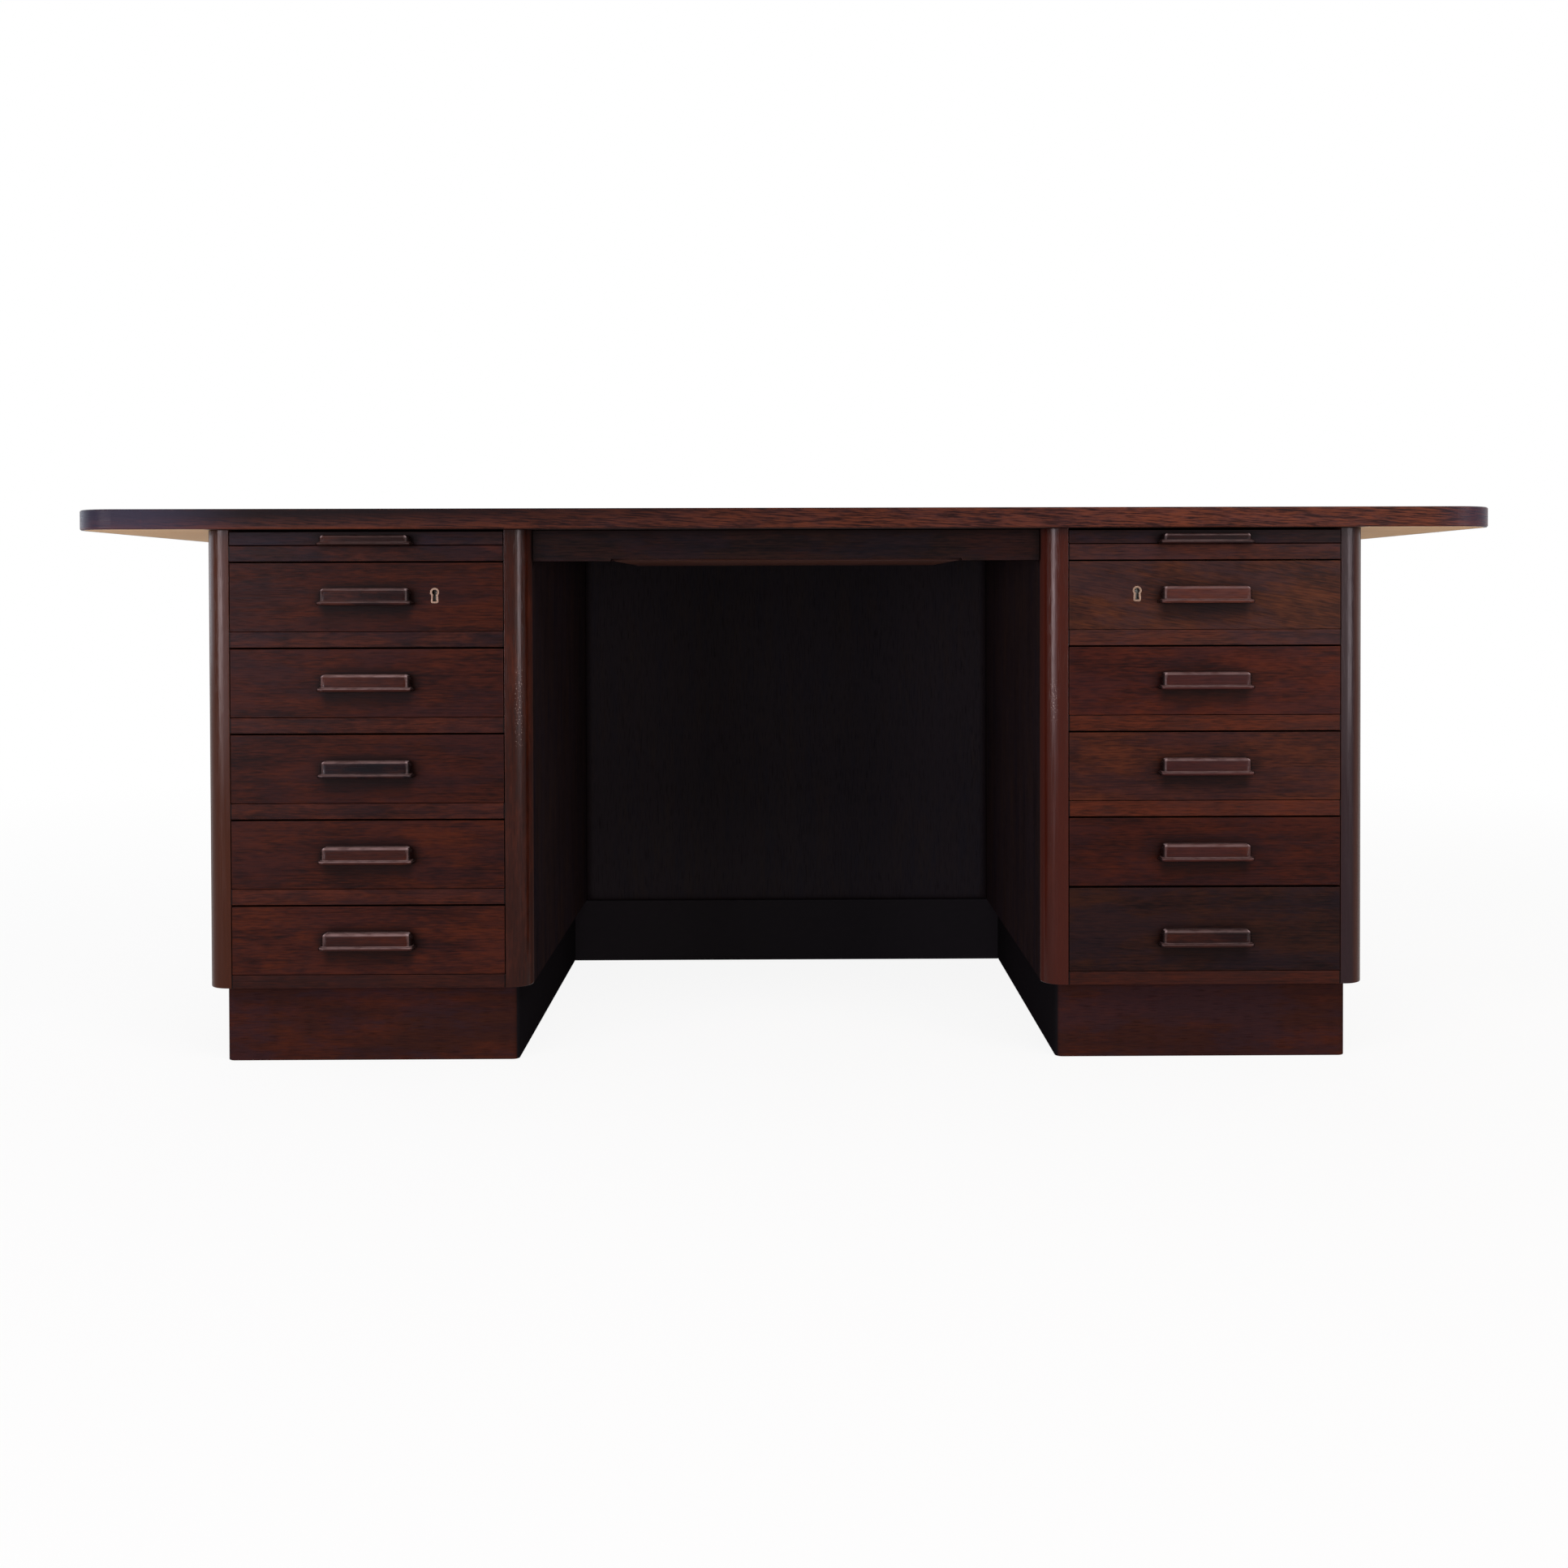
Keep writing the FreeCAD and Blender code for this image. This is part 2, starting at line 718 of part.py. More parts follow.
def escutcheon():
    """Brass keyhole insert, a little proud of the drawer front."""
    front = front_plane - escutcheon_proud
    back = front + escutcheon_depth
    return keyhole(escutcheon_wall, front, back).cut(keyhole(0, front - overrun, back + overrun))


# Assembly

def fixed_nodes():
    nodes = {
        "top_core": top_core(),
        "top_veneer": top_veneer(),
        "top_lipping": top_lipping(),
        "top_tenons": top_tenons(),
        "front_posts": front_posts(),
        "rear_posts": rear_posts(),
        "pedestal_backs": pedestal_backs(),
        "pedestal_bottoms": pedestal_bottoms(),
        "drawer_runners": drawer_runners(),
        "drawer_stops": drawer_stops(),
        "plinth": plinth(),
        "modesty_panel": modesty_panel(),
    }
    for side in SIDES:
        nodes[f"{side}_inner_side"] = sided(side_panel(inner_x, 1), side)
        nodes[f"{side}_outer_side"] = sided(side_panel(outer_x, -1), side)
        nodes[f"{side}_rails"] = rails(side)
    return nodes


def moving_nodes():
    nodes = {
        "pencil_drawer_front": pencil_drawer_front(),
        "pencil_drawer_box": pencil_drawer_box(),
    }
    for side in SIDES:
        nodes[f"{side}_slide_board"] = sided(writing_slide(), side)
        nodes[f"{side}_slide_pull"] = sided(slide_pull(), side)
        nodes[f"{side}_lock_case"] = sided(lock_case(), side)
        nodes[f"{side}_lock_bolt"] = sided(lock_bolt(), side)
        nodes[f"{side}_escutcheon"] = sided(escutcheon(), side)
        for index in range(drawers_per_pedestal):
            name = f"{side}_drawer_{index + 1}"
            nodes[f"{name}_front"] = sided(drawer_front(side, index), side)
            nodes[f"{name}_box"] = sided(drawer_box(index), side)
            nodes[f"{name}_pull"] = sided(drawer_pull(index), side)
    return nodes


def main():
    os.makedirs("parts", exist_ok=True)
    nodes = {**fixed_nodes(), **moving_nodes()}
    for name, shape in nodes.items():
        shape.exportStep(f"parts/{name}.step")
    print(len(nodes), "nodes,", sum(len(shape.Solids) for shape in nodes.values()), "solids")


main()
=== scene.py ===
import math
from collections import namedtuple

import bmesh
import bpy
from mathutils import Matrix, Vector


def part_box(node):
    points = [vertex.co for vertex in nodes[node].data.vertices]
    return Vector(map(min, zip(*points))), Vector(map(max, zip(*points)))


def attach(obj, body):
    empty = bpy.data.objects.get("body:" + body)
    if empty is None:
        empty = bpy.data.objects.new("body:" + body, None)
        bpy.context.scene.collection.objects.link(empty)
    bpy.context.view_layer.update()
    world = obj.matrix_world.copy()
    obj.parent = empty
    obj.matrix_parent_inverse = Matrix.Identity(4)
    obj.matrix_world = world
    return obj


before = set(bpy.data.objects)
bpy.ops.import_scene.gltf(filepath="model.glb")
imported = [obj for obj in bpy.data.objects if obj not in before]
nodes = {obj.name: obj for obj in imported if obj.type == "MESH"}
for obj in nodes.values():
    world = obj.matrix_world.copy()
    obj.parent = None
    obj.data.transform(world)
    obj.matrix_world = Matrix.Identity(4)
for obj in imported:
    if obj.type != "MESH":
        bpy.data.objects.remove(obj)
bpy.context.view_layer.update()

# The dressed desk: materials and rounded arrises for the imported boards, and the screws that hold them.
# Metres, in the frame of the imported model. All patterns use the coordinates of the board they are on.

SIDES = ("left", "right")
DRAWERS = range(1, 6)
SLIDE = 0
side_signs = {"left": -1, "right": 1}

# Camera, fitted to the photograph's frame
frame_pixels = 1932
sensor_width = 36.0
focal_pixels = 2204.8
axis_pixel_x = 984.8
axis_pixel_y = 765.8
camera_place = Vector((-0.0039, -2.8175, 0.6355))
camera_yaw = -0.0087
camera_pitch = 0.0154
camera_roll = -0.0027

# Light: soft lamps, an even fill from all round, and a floor that shows white
Lamp = namedtuple("Lamp", "name place target width height power colour")
lamps = (
    Lamp("overhead", (0.5, -2.4, 3.0), (0.05, -0.35, 0.4), 3.6, 2.0, 72, (1.0, 0.96, 0.94)),
    Lamp("left_strip", (-3.1, -3.0, 0.62), (0.2, -0.3, 0.5), 1.4, 0.8, 70, (1.0, 0.86, 0.9)),
    Lamp("right_strip", (3.1, -3.0, 0.62), (-0.2, -0.3, 0.5), 1.4, 0.8, 50, (1.0, 0.87, 0.92)),
    Lamp("left_haze", (-1.9, -3.0, 0.8), (-0.6, -0.4, 0.5), 1.2, 1.3, 21, (0.88, 0.86, 1.0)),
    Lamp("right_haze", (1.9, -3.0, 0.8), (0.6, -0.4, 0.5), 1.2, 1.3, 12, (1.0, 0.9, 0.86)),
    Lamp("left_sky", (-3.4, 0.5, 1.3), (-0.9, 0.0, 0.5), 2.4, 1.8, 36, (0.78, 0.87, 1.0)),
    Lamp("right_sky", (3.4, 0.5, 1.3), (0.9, 0.0, 0.5), 2.4, 1.8, 9, (0.9, 0.92, 1.0)),
    Lamp("rear", (0.0, 3.4, 1.9), (0.0, 0.35, 0.4), 3.2, 1.6, 70, (1.0, 0.97, 0.94)),
)
fill_strength = 0.22
fill_colour = (0.93, 0.96, 1.0, 1.0)
white = (1.0, 1.0, 1.0, 1.0)
white_strength = 1.0
floor_half = 30.0
floor_drop = 0.0004
floor_albedo = (0.8, 0.79, 0.77, 1.0)
floor_white_share = 0.9
floor_fade_near = 1.6
floor_fade_far = 4.0

# Arrises that the boards were sanded to
arris_width = 0.0007
fine_arris = 0.0004
pull_arris = 0.0018
arris_segments = 2
pull_segments = 3
arris_angle = math.radians(35)
crease_angle = math.radians(50)
weld_reach = 0.00001
flat_angle = math.radians(0.4)

# Tones
rosewood_tone = (0.026, 0.0058, 0.0042, 1.0)
rosewood_warm = (0.07, 0.0155, 0.0072, 1.0)
left_front_tone = (0.0205, 0.0049, 0.0036, 1.0)
russet_tone = (0.0255, 0.0075, 0.0058, 1.0)
brown_tone = (0.031, 0.0108, 0.0078, 1.0)
dark_tone = (0.0118, 0.0043, 0.0039, 1.0)
# Old dirt and dark joints, and also the painted shade in corners, at the pull ends and under the pulls
dirt_and_shade_tone = (0.004, 0.0016, 0.0015, 1.0)
slide_shade_tone = (0.0135, 0.0066, 0.0076, 1.0)
rail_tone = (0.0128, 0.0045, 0.0045, 1.0)
low_rail_tone = (0.022, 0.0058, 0.0042, 1.0)
bright_rail_tone = (0.0305, 0.0108, 0.0088, 1.0)
orange_tone = (0.0385, 0.0089, 0.0047, 1.0)
post_tone = (0.0205, 0.0043, 0.0022, 1.0)
right_post_tone = (0.0403, 0.0066, 0.0036, 1.0)
# Painted bluish reflection on the outer right post
post_reflection_tone = (0.0185, 0.0095, 0.011, 1.0)
amber_tone = (0.038, 0.0102, 0.0045, 1.0)
chip_tone = (0.16, 0.104, 0.088, 1.0)
# Pale edges of the pulls: wear and painted highlight
rub_and_highlight_tone = (0.15, 0.095, 0.09, 1.0)
# Painted glint at the upper corners of the pulls' rims
glint_tone = (0.34, 0.25, 0.25, 1.0)
edge_tone = (0.0545, 0.0172, 0.0126, 1.0)
edge_warm = (0.115, 0.03, 0.0135, 1.0)
# Dark fibres of the edge strip, and the painted shade on its left part
fibre_and_shade_tone = (0.006, 0.003, 0.0034, 1.0)
# Painted bluish reflection at both ends of the edge strip
edge_reflection_tone = (0.035, 0.032, 0.055, 1.0)
plinth_tone = (0.0252, 0.0095, 0.0078, 1.0)
# Painted shade: near-black tones for the faces in the kneehole
knee_shade_tone = (0.0175, 0.0155, 0.0178, 1.0)
knee_side_shade_tone = (0.0138, 0.009, 0.0096, 1.0)
panel_shade_tone = (0.0238, 0.0196, 0.0228, 1.0)
apron_tone = (0.009, 0.0042, 0.0042, 1.0)
stained_tone = (0.076, 0.03, 0.0205, 1.0)
beige_tone = (0.655, 0.385, 0.175, 1.0)
beige_warm = (0.64, 0.357, 0.15, 1.0)
beech_tone = (0.55, 0.34, 0.175, 1.0)
beech_warm = (0.58, 0.31, 0.13, 1.0)
pull_tone = (0.0305, 0.006, 0.0044, 1.0)
left_pull_tone = (0.022, 0.0042, 0.0025, 1.0)
dark_pull_tone = (0.0072, 0.0012, 0.0013, 1.0)
blue_pull_tone = (0.003, 0.0006, 0.0016, 1.0)
pale_pull_tone = (0.055, 0.0145, 0.0092, 1.0)
brass_tone = (0.225, 0.15, 0.11, 1.0)
brass_stain = (0.17, 0.108, 0.08, 1.0)
steel_tone = (0.42, 0.41, 0.39, 1.0)
steel_stain = (0.2, 0.17, 0.14, 1.0)

# Layers of noise: waves per metre along and across the fibres, what is added to the seed, and fineness
Layer = namedtuple("Layer", "pace step detail roughness", defaults=(0.5,))
wander_layer = Layer((2.5, 11.0), step=0, detail=3.0)
band_layer = Layer((2.6, 62.0), step=1, detail=5.0)
line_layer = Layer((9.0, 430.0), step=2, detail=3.0)
cloud_layer = Layer((6.0, 20.0), step=3, detail=5.0, roughness=0.68)
pore_layer = Layer((45.0, 1500.0), step=4, detail=0.0)
wear_layer = Layer((60.0, 60.0), step=5, detail=3.0)
fleck_layer = Layer((56.0, 480.0), step=6, detail=1.0)
fibre_layer = Layer((26.0, 430.0), step=6, detail=3.0)
chip_layer = Layer((372.0, 620.0), step=6, detail=1.0)
shade_layer = Layer((6.0, 20.0), step=7, detail=5.0, roughness=0.68)
rub_and_highlight_layer = Layer((70.0, 200.0), step=8, detail=3.0)
patch_layer = Layer((11.0, 36.0), step=9, detail=4.0, roughness=0.6)
film_layer = Layer((140.0, 140.0), step=0, detail=4.0)
scratch_layer = Layer((4000.0, 900.0), step=1, detail=2.0)
noise_middle = 0.5

# Figure: how the layers add up to light and dark, warm and cool
wander_reach = 0.006
band_share = 0.27
line_share = 0.18
fleck_share = 0.3
patch_share = 0.25
figure_spread = 0.11
figure_depth = 0.53
dark_shares = (0.85, 1.05, 1.35, 1.0)
bright_shares = (1.08, 0.95, 0.72, 1.0)
warm_shares = (2.6, 2.2, 1.0, 1.0)
cool_shares = (0.78, 1.2, 1.95, 1.0)
cool_share = 0.78
cool_span = (0.45, 0.57)
heat_span = (0.44, 0.58)
heat_figure_span = (0.4, 0.6)
heat_floor = 0.3
pore_span = (0.6, 0.72)
pore_depth = 0.5
pore_dark_share = 0.3

# Lacquer: relief of the grain, and roughness that follows the fine lines
Finish = namedtuple("Finish", "rough specular")
lacquer = Finish(rough=0.3, specular=0.05)
core_finish = Finish(rough=0.6, specular=0.2)
edge_finish = Finish(rough=0.3, specular=0.045)
post_finish = Finish(rough=0.16, specular=0.1)
rail_finish = Finish(rough=0.3, specular=0.055)
pull_finish = Finish(rough=0.2, specular=0.085)
knee_finish = Finish(rough=0.45, specular=0.0)
pencil_finish = Finish(rough=0.45, specular=0.05)
beech_finish = Finish(rough=0.55, specular=0.2)
box_finish = Finish(rough=0.5, specular=0.2)
grain_height = 0.00022
grain_strength = 0.25
line_relief = 0.6
line_span = (0.3, 0.7)
smoother = 0.05
rougher = 0.09
end_span = (0.8, 0.96)
edge_end_dull = 0.7
post_end_dull = 0.9

# Wear of sharp edges, and old dirt with painted shade in corners and round the pulls
edge_reach = 0.0022
edge_samples = 4
lean_span = (0.995, 0.88)
wear_span = (0.38, 0.7)
usual_wear = 0.35
edge_wear = 0.3
post_wear = 0.3
plinth_wear = 0.25
bare_share = 1.5
edge_bare_share = 1.2
post_bare_share = 1.4
plinth_bare_share = 1.2
dirt_and_shade_reach = 0.016
dirt_and_shade_samples = 8
open_span = (0.96, 0.55)
usual_dirt_and_shade = 0.8
post_dirt_and_shade = 0.6
rail_dirt_and_shade = 0.7
panel_dirt_and_shade = 0.7
pull_dirt_and_shade = 0.6
front_dirt_and_shade = {"left": 0.8, "right": 0.4}

# Kinds of grain: the seed, the axes that the fibres run along, and the tones
along_x = (1, 0, 0)
along_y = (0, 1, 0)
along_z = (0, 0, 1)
along_xy = (1, 1, 0)
Grain = namedtuple("Grain", "seed way tone warm warmth contrast", defaults=(0.5, 1.0))
core_grain = Grain(11, along_x, beige_tone, beige_warm, warmth=1.0, contrast=0.15)
edge_grain = Grain(37, along_xy, edge_tone, edge_warm, warmth=0.6, contrast=1.2)
post_grain = Grain(41, along_z, post_tone, rosewood_warm, contrast=0.55)
# Painted shade for the modesty panel's face towards the kneehole
panel_shade_grain = Grain(53, along_z, panel_shade_tone, panel_shade_tone, warmth=1.0, contrast=0.35)
panel_back_grain = Grain(55, along_z, rosewood_tone, rosewood_warm)
plinth_grain = Grain(71, along_xy, plinth_tone, rosewood_warm, warmth=0.4, contrast=0.45)
slide_grain = Grain(311, along_x, rosewood_tone, rosewood_warm)
# Painted shade with a bluish painted sheen for the slides' front edges
slide_edge_shade_grain = Grain(313, along_x, slide_shade_tone, rosewood_tone, warmth=0.4)
high_rail_grains = {"left": Grain(83, along_x, rail_tone, rosewood_warm),
                    "right": Grain(97, along_x, bright_rail_tone, rosewood_warm)}
low_rail_tones = {"left": low_rail_tone, "right": orange_tone}

# Boards of one kind of wood all over
Board = namedtuple("Board", "grain finish wear leaf", defaults=(lacquer, usual_wear, 0.0))
boards = {
    "top_face": Board(Grain(23, along_x, rosewood_tone, rosewood_warm, warmth=0.7), leaf=0.211),
    # Painted shade: the sides that face the kneehole get a near-black tone
    "knee_sides": Board(Grain(57, along_z, knee_side_shade_tone, knee_side_shade_tone, warmth=0.8, contrast=0.8),
                        knee_finish),
    "sides": Board(Grain(59, along_z, rosewood_tone, rosewood_warm)),
    "beech": Board(Grain(67, along_y, beech_tone, beech_warm, warmth=1.0, contrast=0.2),
                   beech_finish, wear=0.0),
    "drawer_boards": Board(Grain(301, along_y, beech_tone, beech_warm, warmth=1.0, contrast=0.24),
                           box_finish, wear=0.0),
    "apron_wood": Board(Grain(351, along_x, apron_tone, rosewood_tone, warmth=0.4)),
    "pencil_boards": Board(Grain(361, along_x, stained_tone, rosewood_warm, warmth=0.4, contrast=0.6),
                           pencil_finish),
}

# Drawer fronts from the top down: tone, how bright it is, how warm, and the slope of its grain
Front = namedtuple("Front", "tone bright_share warmth slope", defaults=(0.0,))
fronts = {
    "left": (Front(left_front_tone, 0.86, 0.55), Front(left_front_tone, 1.0, 0.35),
             Front(left_front_tone, 0.93, 0.4), Front(left_front_tone, 1.0, 0.6),
             Front(left_front_tone, 1.1, 0.65)),
    "right": (Front(brown_tone, 1.0, 0.4, slope=0.16), Front(rosewood_tone, 1.0, 0.5),
              Front(russet_tone, 1.0, 0.6), Front(rosewood_tone, 0.75, 0.35), Front(dark_tone, 1.0, 0.35)),
}
front_seeds = {"left": range(110, 160, 10), "right": range(170, 220, 10)}
# Painted shadow under each pull: its share, the depth at full strength, and its fades below and at the
# sides
under_pull_shadow_share = 0.75
under_pull_shadow_full = 0.004
under_pull_shadow_fade = 0.03
under_pull_shadow_side_fade = 0.012

# Pulls of the slide and then of the drawers: tone, how bright it is, and how pale the edges round the face
# are, partly wear and partly painted highlight
Pull = namedtuple("Pull", "tone bright_share polish")
usual_left_pull = Pull(left_pull_tone, 1.0, 0.97)
usual_right_pull = Pull(pull_tone, 1.0, 0.58)
pulls = {
    "left": (Pull(left_pull_tone, 0.5, 0.26), Pull(dark_pull_tone, 1.0, 0.44), usual_left_pull,
             Pull(blue_pull_tone, 1.0, 0.65), usual_left_pull, usual_left_pull),
    "right": (Pull(dark_pull_tone, 1.0, 0.42), Pull(pale_pull_tone, 1.0, 0.48), usual_right_pull,
              usual_right_pull, usual_right_pull, Pull(dark_pull_tone, 1.0, 0.4)),
}
pull_seeds = {"left": range(400, 460, 10), "right": range(470, 530, 10)}
pull_warmth = 0.4
pull_contrast = 0.7
pull_end_run = 0.0075
lip_end_run = 0.0035
lip_rise = 0.005
rim_width = 0.0016
rim_soft = 0.0008
rim_corner = 0.0045
round_span = (0.985, 0.88)
upper_span = (0.1, 0.3)
upright_share = 0.4
glint_share = 1.4
rub_and_highlight_span = (0.3, 0.6)
rub_and_highlight_least = 0.45
# Painted shade on the pull ends past the face and at the ends of the lip
end_shade = 0.9

# Underside of the top, and its edge strip from left to right
# Painted shade on the underside between the outer sides of the pedestals
underside_shade_fade = 0.012
edge_slope = 0.05
edge_fineness = 1.4
fibre_dark_span = (0.5, 0.62)
fibre_dark_share = 0.74
fibre_bright_span = (0.5, 0.38)
fibre_bright_share = 0.55
# Painted shade on the edge strip: deeper to the left, and towards the upper face on the left part
edge_shade_right = 0.6
edge_shade_left = -0.8
edge_shade_least = 0.15
edge_shade_most = 0.85
edge_shade_rise = 0.6
edge_shade_rise_left = -0.3
edge_shade_rise_span = (-0.5, 0.5)
edge_worn_height = 0.005
edge_worn_share = 0.5
edge_worn_right = -0.35
edge_worn_left = -0.6
# Painted bluish reflections at both ends of the edge strip
edge_reflection_share = 0.55
edge_reflection_right = -0.7
edge_reflection_left = -0.88
edge_reflection_far_left = 0.86
edge_reflection_far_right = 0.945

# Posts: a painted bluish reflection on the outer right one, and chips on the inner ones between two heights
post_side_span = (-0.1, 0.1)
right_post_share = 0.75
post_outer_share = 0.85
outer_post_start = 0.74
post_reflection_end = 0.766
outer_post_soft = 0.01
post_reflection_facing = (-0.55, -0.95)
post_chips = {"left": (0.436, 0.53), "right": (0.47, 0.512)}
chip_span = (0.61, 0.68)
chip_front_span = (0.0, -0.1)
chip_near = 0.012
chip_far = 0.018
chip_soft = 0.003
chip_fade = 0.012

# Rails, plinth and the faces that turn towards the kneehole
rail_change_high = 0.57
rail_change_low = 0.45
foot_rail_high = 0.2
foot_rail_low = 0.14
foot_rail_share = 0.5
joint_line = 0.0015
plinth_reach = 0.12
# Painted shade on the plinth's faces towards the kneehole
knee_inner_shade_share = 0.42
turned_low = 0.5
turned_high = 0.8

# Metal
Metal = namedtuple("Metal", "seed tone stain rough")
metals = {"brass": Metal(501, brass_tone, brass_stain, rough=0.3),
          "lock_steel": Metal(511, steel_tone, steel_stain, rough=0.35)}
film_span = (0.4, 0.66)
film_dull = 0.2
scratch_strength = 0.2
scratch_height = 0.00005

# Screws; the levels of a head are shares of its radius and height
screw_radius = 0.0042
screw_height = 0.0018
small_screw_radius = 0.0022
small_screw_height = 0.0008
slot_share = 0.2
slot_depth_share = 0.55
dome_share = 0.62
head_level_shares = ((1.0, 0.0), (1.0, 0.35), (0.86, 0.75), (dome_share, 1.0))
screw_turn = math.radians(37)
head_segments = 20
pull_screw_spacing = 0.08
lock_screw_inset = 0.012
lock_screw_rise = 0.005
lock_screw_drop = 0.01


# Node trees

class Graph:
    """Builds the nodes of one material, world or group with short calls."""

    # Sockets of the node that mixes two colours
    mix_share = 0
    mix_first = 6
    mix_second = 7
    mix_result = 2

    def __init__(self, tree):
        self.tree = tree
        tree.nodes.clear()

    def node(self, kind, values, **settings):
        made = self.tree.nodes.new(kind)
        for name, value in settings.items():
            setattr(made, name, value)
        for key, value in values.items():
            if isinstance(value, bpy.types.NodeSocket):
                self.tree.links.new(value, made.inputs[key])
            else:
                made.inputs[key].default_value = value
        return made

    def calc(self, operation, first, second=0.0):
        return self.node("ShaderNodeMath", {0: first, 1: second}, operation=operation).outputs[0]

    def product(self, first, *others):
        for other in others:
            first = self.calc("MULTIPLY", first, other)
        return first

    def size(self, value):
        """The value without its sign."""
        return self.calc("ABSOLUTE", value)

    def past(self, value, limit):
        """How far the value lies past a limit, or zero before it."""
        return self.calc("MAXIMUM", self.calc("SUBTRACT", value, limit), 0.0)

    def vector(self, operation, first, second):
        return self.node("ShaderNodeVectorMath", {0: first, 1: second}, operation=operation).outputs[0]

    def measure(self, operation, *vectors):
        """A number worked out from one or two vectors."""
        values = dict(enumerate(vectors))
        return self.node("ShaderNodeVectorMath", values, operation=operation).outputs["Value"]

    def joined(self, x, y, z=0.0):
        return self.node("ShaderNodeCombineXYZ", {0: x, 1: y, 2: z}).outputs[0]

    def split(self, vector):
        return self.node("ShaderNodeSeparateXYZ", {0: vector}).outputs

    def ramp(self, value, low, high, start=0.0, end=1.0):
        """The value carried smoothly from one span to another."""
        spans = {"Value": value, "From Min": low, "From Max": high, "To Min": start, "To Max": end}
        return self.node("ShaderNodeMapRange", spans, interpolation_type="SMOOTHSTEP").outputs[0]

    def band(self, value, low, high, soft):
        """One between two limits, fading to zero outside them."""
        rise = self.ramp(value, low - soft, low)
        fall = self.ramp(value, high, high + soft, 1.0, 0.0)
        return self.product(rise, fall)

    def blend(self, share, first, second):
        """A colour between two colours."""
        values = {self.mix_share: share, self.mix_first: first, self.mix_second: second}
        return self.node("ShaderNodeMix", values, data_type="RGBA").outputs[self.mix_result]

    def noise(self, place, layer, way, seed, output="Fac"):
        """One layer of noise, with its own pace along the fibres and across them."""
        along, across = layer.pace
        rates = tuple(along if fibre else across for fibre in way)
        values = {"Vector": self.vector("MULTIPLY", place, rates), "W": seed + layer.step, "Scale": 1.0,
                  "Detail": layer.detail, "Roughness": layer.roughness}
        return self.node("ShaderNodeTexNoise", values, noise_dimensions="4D").outputs[output]

    def place(self):
        """Coordinates of the board itself, in metres."""
        return self.node("ShaderNodeTexCoord", {}).outputs["Object"]

    def facing(self):
        """The direction that the surface faces, in the board's own axes."""
        return self.split(self.node("ShaderNodeTexCoord", {}).outputs["Normal"])

    def seen(self):
        """One for rays that show the background: from the camera, by gloss or through glass."""
        path = self.node("ShaderNodeLightPath", {}).outputs
        direct = self.calc("MAXIMUM", path["Is Camera Ray"], path["Is Glossy Ray"])
        return self.calc("MAXIMUM", direct, path["Is Transmission Ray"])


def new_material(name):
    material = bpy.data.materials.new(name)
    material.use_nodes = True
    return material, Graph(material.node_tree)


def shaded(graph, values):
    """Ends a material's tree with one shader."""
    shader = graph.node("ShaderNodeBsdfPrincipled", values)
    graph.node("ShaderNodeOutputMaterial", {"Surface": shader.outputs[0]})


def tinted(colour, share):
    """The colour made darker or brighter in all channels alike."""
    return tuple(channel * share for channel in colour[:3]) + (1.0,)


def scaled(colour, shares):
    """The colour with each channel taken by its own share."""
    return tuple(channel * share for channel, share in zip(colour, shares))


# Wood

def laid(graph, leaf=0.0, slope=0.0):
    """Coordinates for the figure: mirrored in leaves across the board, or with the grain on a slope."""
    place = graph.place()
    if leaf:
        x, y, z = graph.split(place)
        place = graph.joined(x, graph.calc("PINGPONG", y, leaf), z)
    if slope:
        x, y, z = graph.split(place)
        place = graph.joined(x, y, graph.calc("ADD", z, graph.product(x, slope)))
    return place


def figured(graph, place, grain):
    """Colour, fine lines and pores: wandering bands and flecks, with warmer and cooler clouds."""
    seed, way, tone, warm, warmth, contrast = grain
    drift = graph.noise(place, wander_layer, way, seed, "Color")
    drift = graph.vector("SUBTRACT", drift, (noise_middle,) * 3)
    bent = graph.vector("ADD", place, graph.vector("MULTIPLY", drift, (wander_reach,) * 3))
    bands = graph.noise(bent, band_layer, way, seed)
    lines = graph.noise(bent, line_layer, way, seed)
    flecks = graph.noise(bent, fleck_layer, way, seed)
    patches = graph.noise(bent, patch_layer, way, seed)
    clouds = graph.noise(bent, cloud_layer, way, seed)
    shades = graph.noise(bent, shade_layer, way, seed)
    pores = graph.ramp(graph.noise(bent, pore_layer, way, seed), *pore_span)

    figure = graph.product(bands, band_share)
    for part, share in ((lines, line_share), (flecks, fleck_share), (patches, patch_share)):
        figure = graph.calc("ADD", figure, graph.product(part, share))
    spread = figure_spread / contrast
    light = graph.ramp(figure, noise_middle - spread, noise_middle + spread)
    dark = tinted(scaled(tone, dark_shares), 1 - figure_depth * contrast)
    bright = tinted(scaled(tone, bright_shares), 1 + figure_depth * contrast)
    colour = graph.blend(light, dark, bright)
    heat = graph.product(graph.ramp(clouds, *heat_span), graph.ramp(figure, *heat_figure_span, heat_floor))
    colour = graph.blend(graph.product(heat, warmth), colour, warm)
    chill = graph.product(graph.ramp(shades, *cool_span), cool_share * (1 - warmth))
    colour = graph.blend(chill, colour, scaled(tone, cool_shares))
    colour = graph.blend(graph.product(pores, pore_depth), colour, tinted(tone, pore_dark_share))
    return colour, lines, pores


def rubbed(graph, colour, grain, wear, bare):
    """The colour with the sharp edges worn towards a paler one, broken up by noise."""
    rounded = graph.node("ShaderNodeBevel", {"Radius": edge_reach}, samples=edge_samples).outputs[0]
    face = graph.node("ShaderNodeNewGeometry", {}).outputs["Normal"]
    lean = graph.ramp(graph.measure("DOT_PRODUCT", rounded, face), *lean_span)
    broken = graph.ramp(graph.noise(graph.place(), wear_layer, grain.way, grain.seed), *wear_span)
    return graph.blend(graph.product(lean, broken, wear), colour, bare)


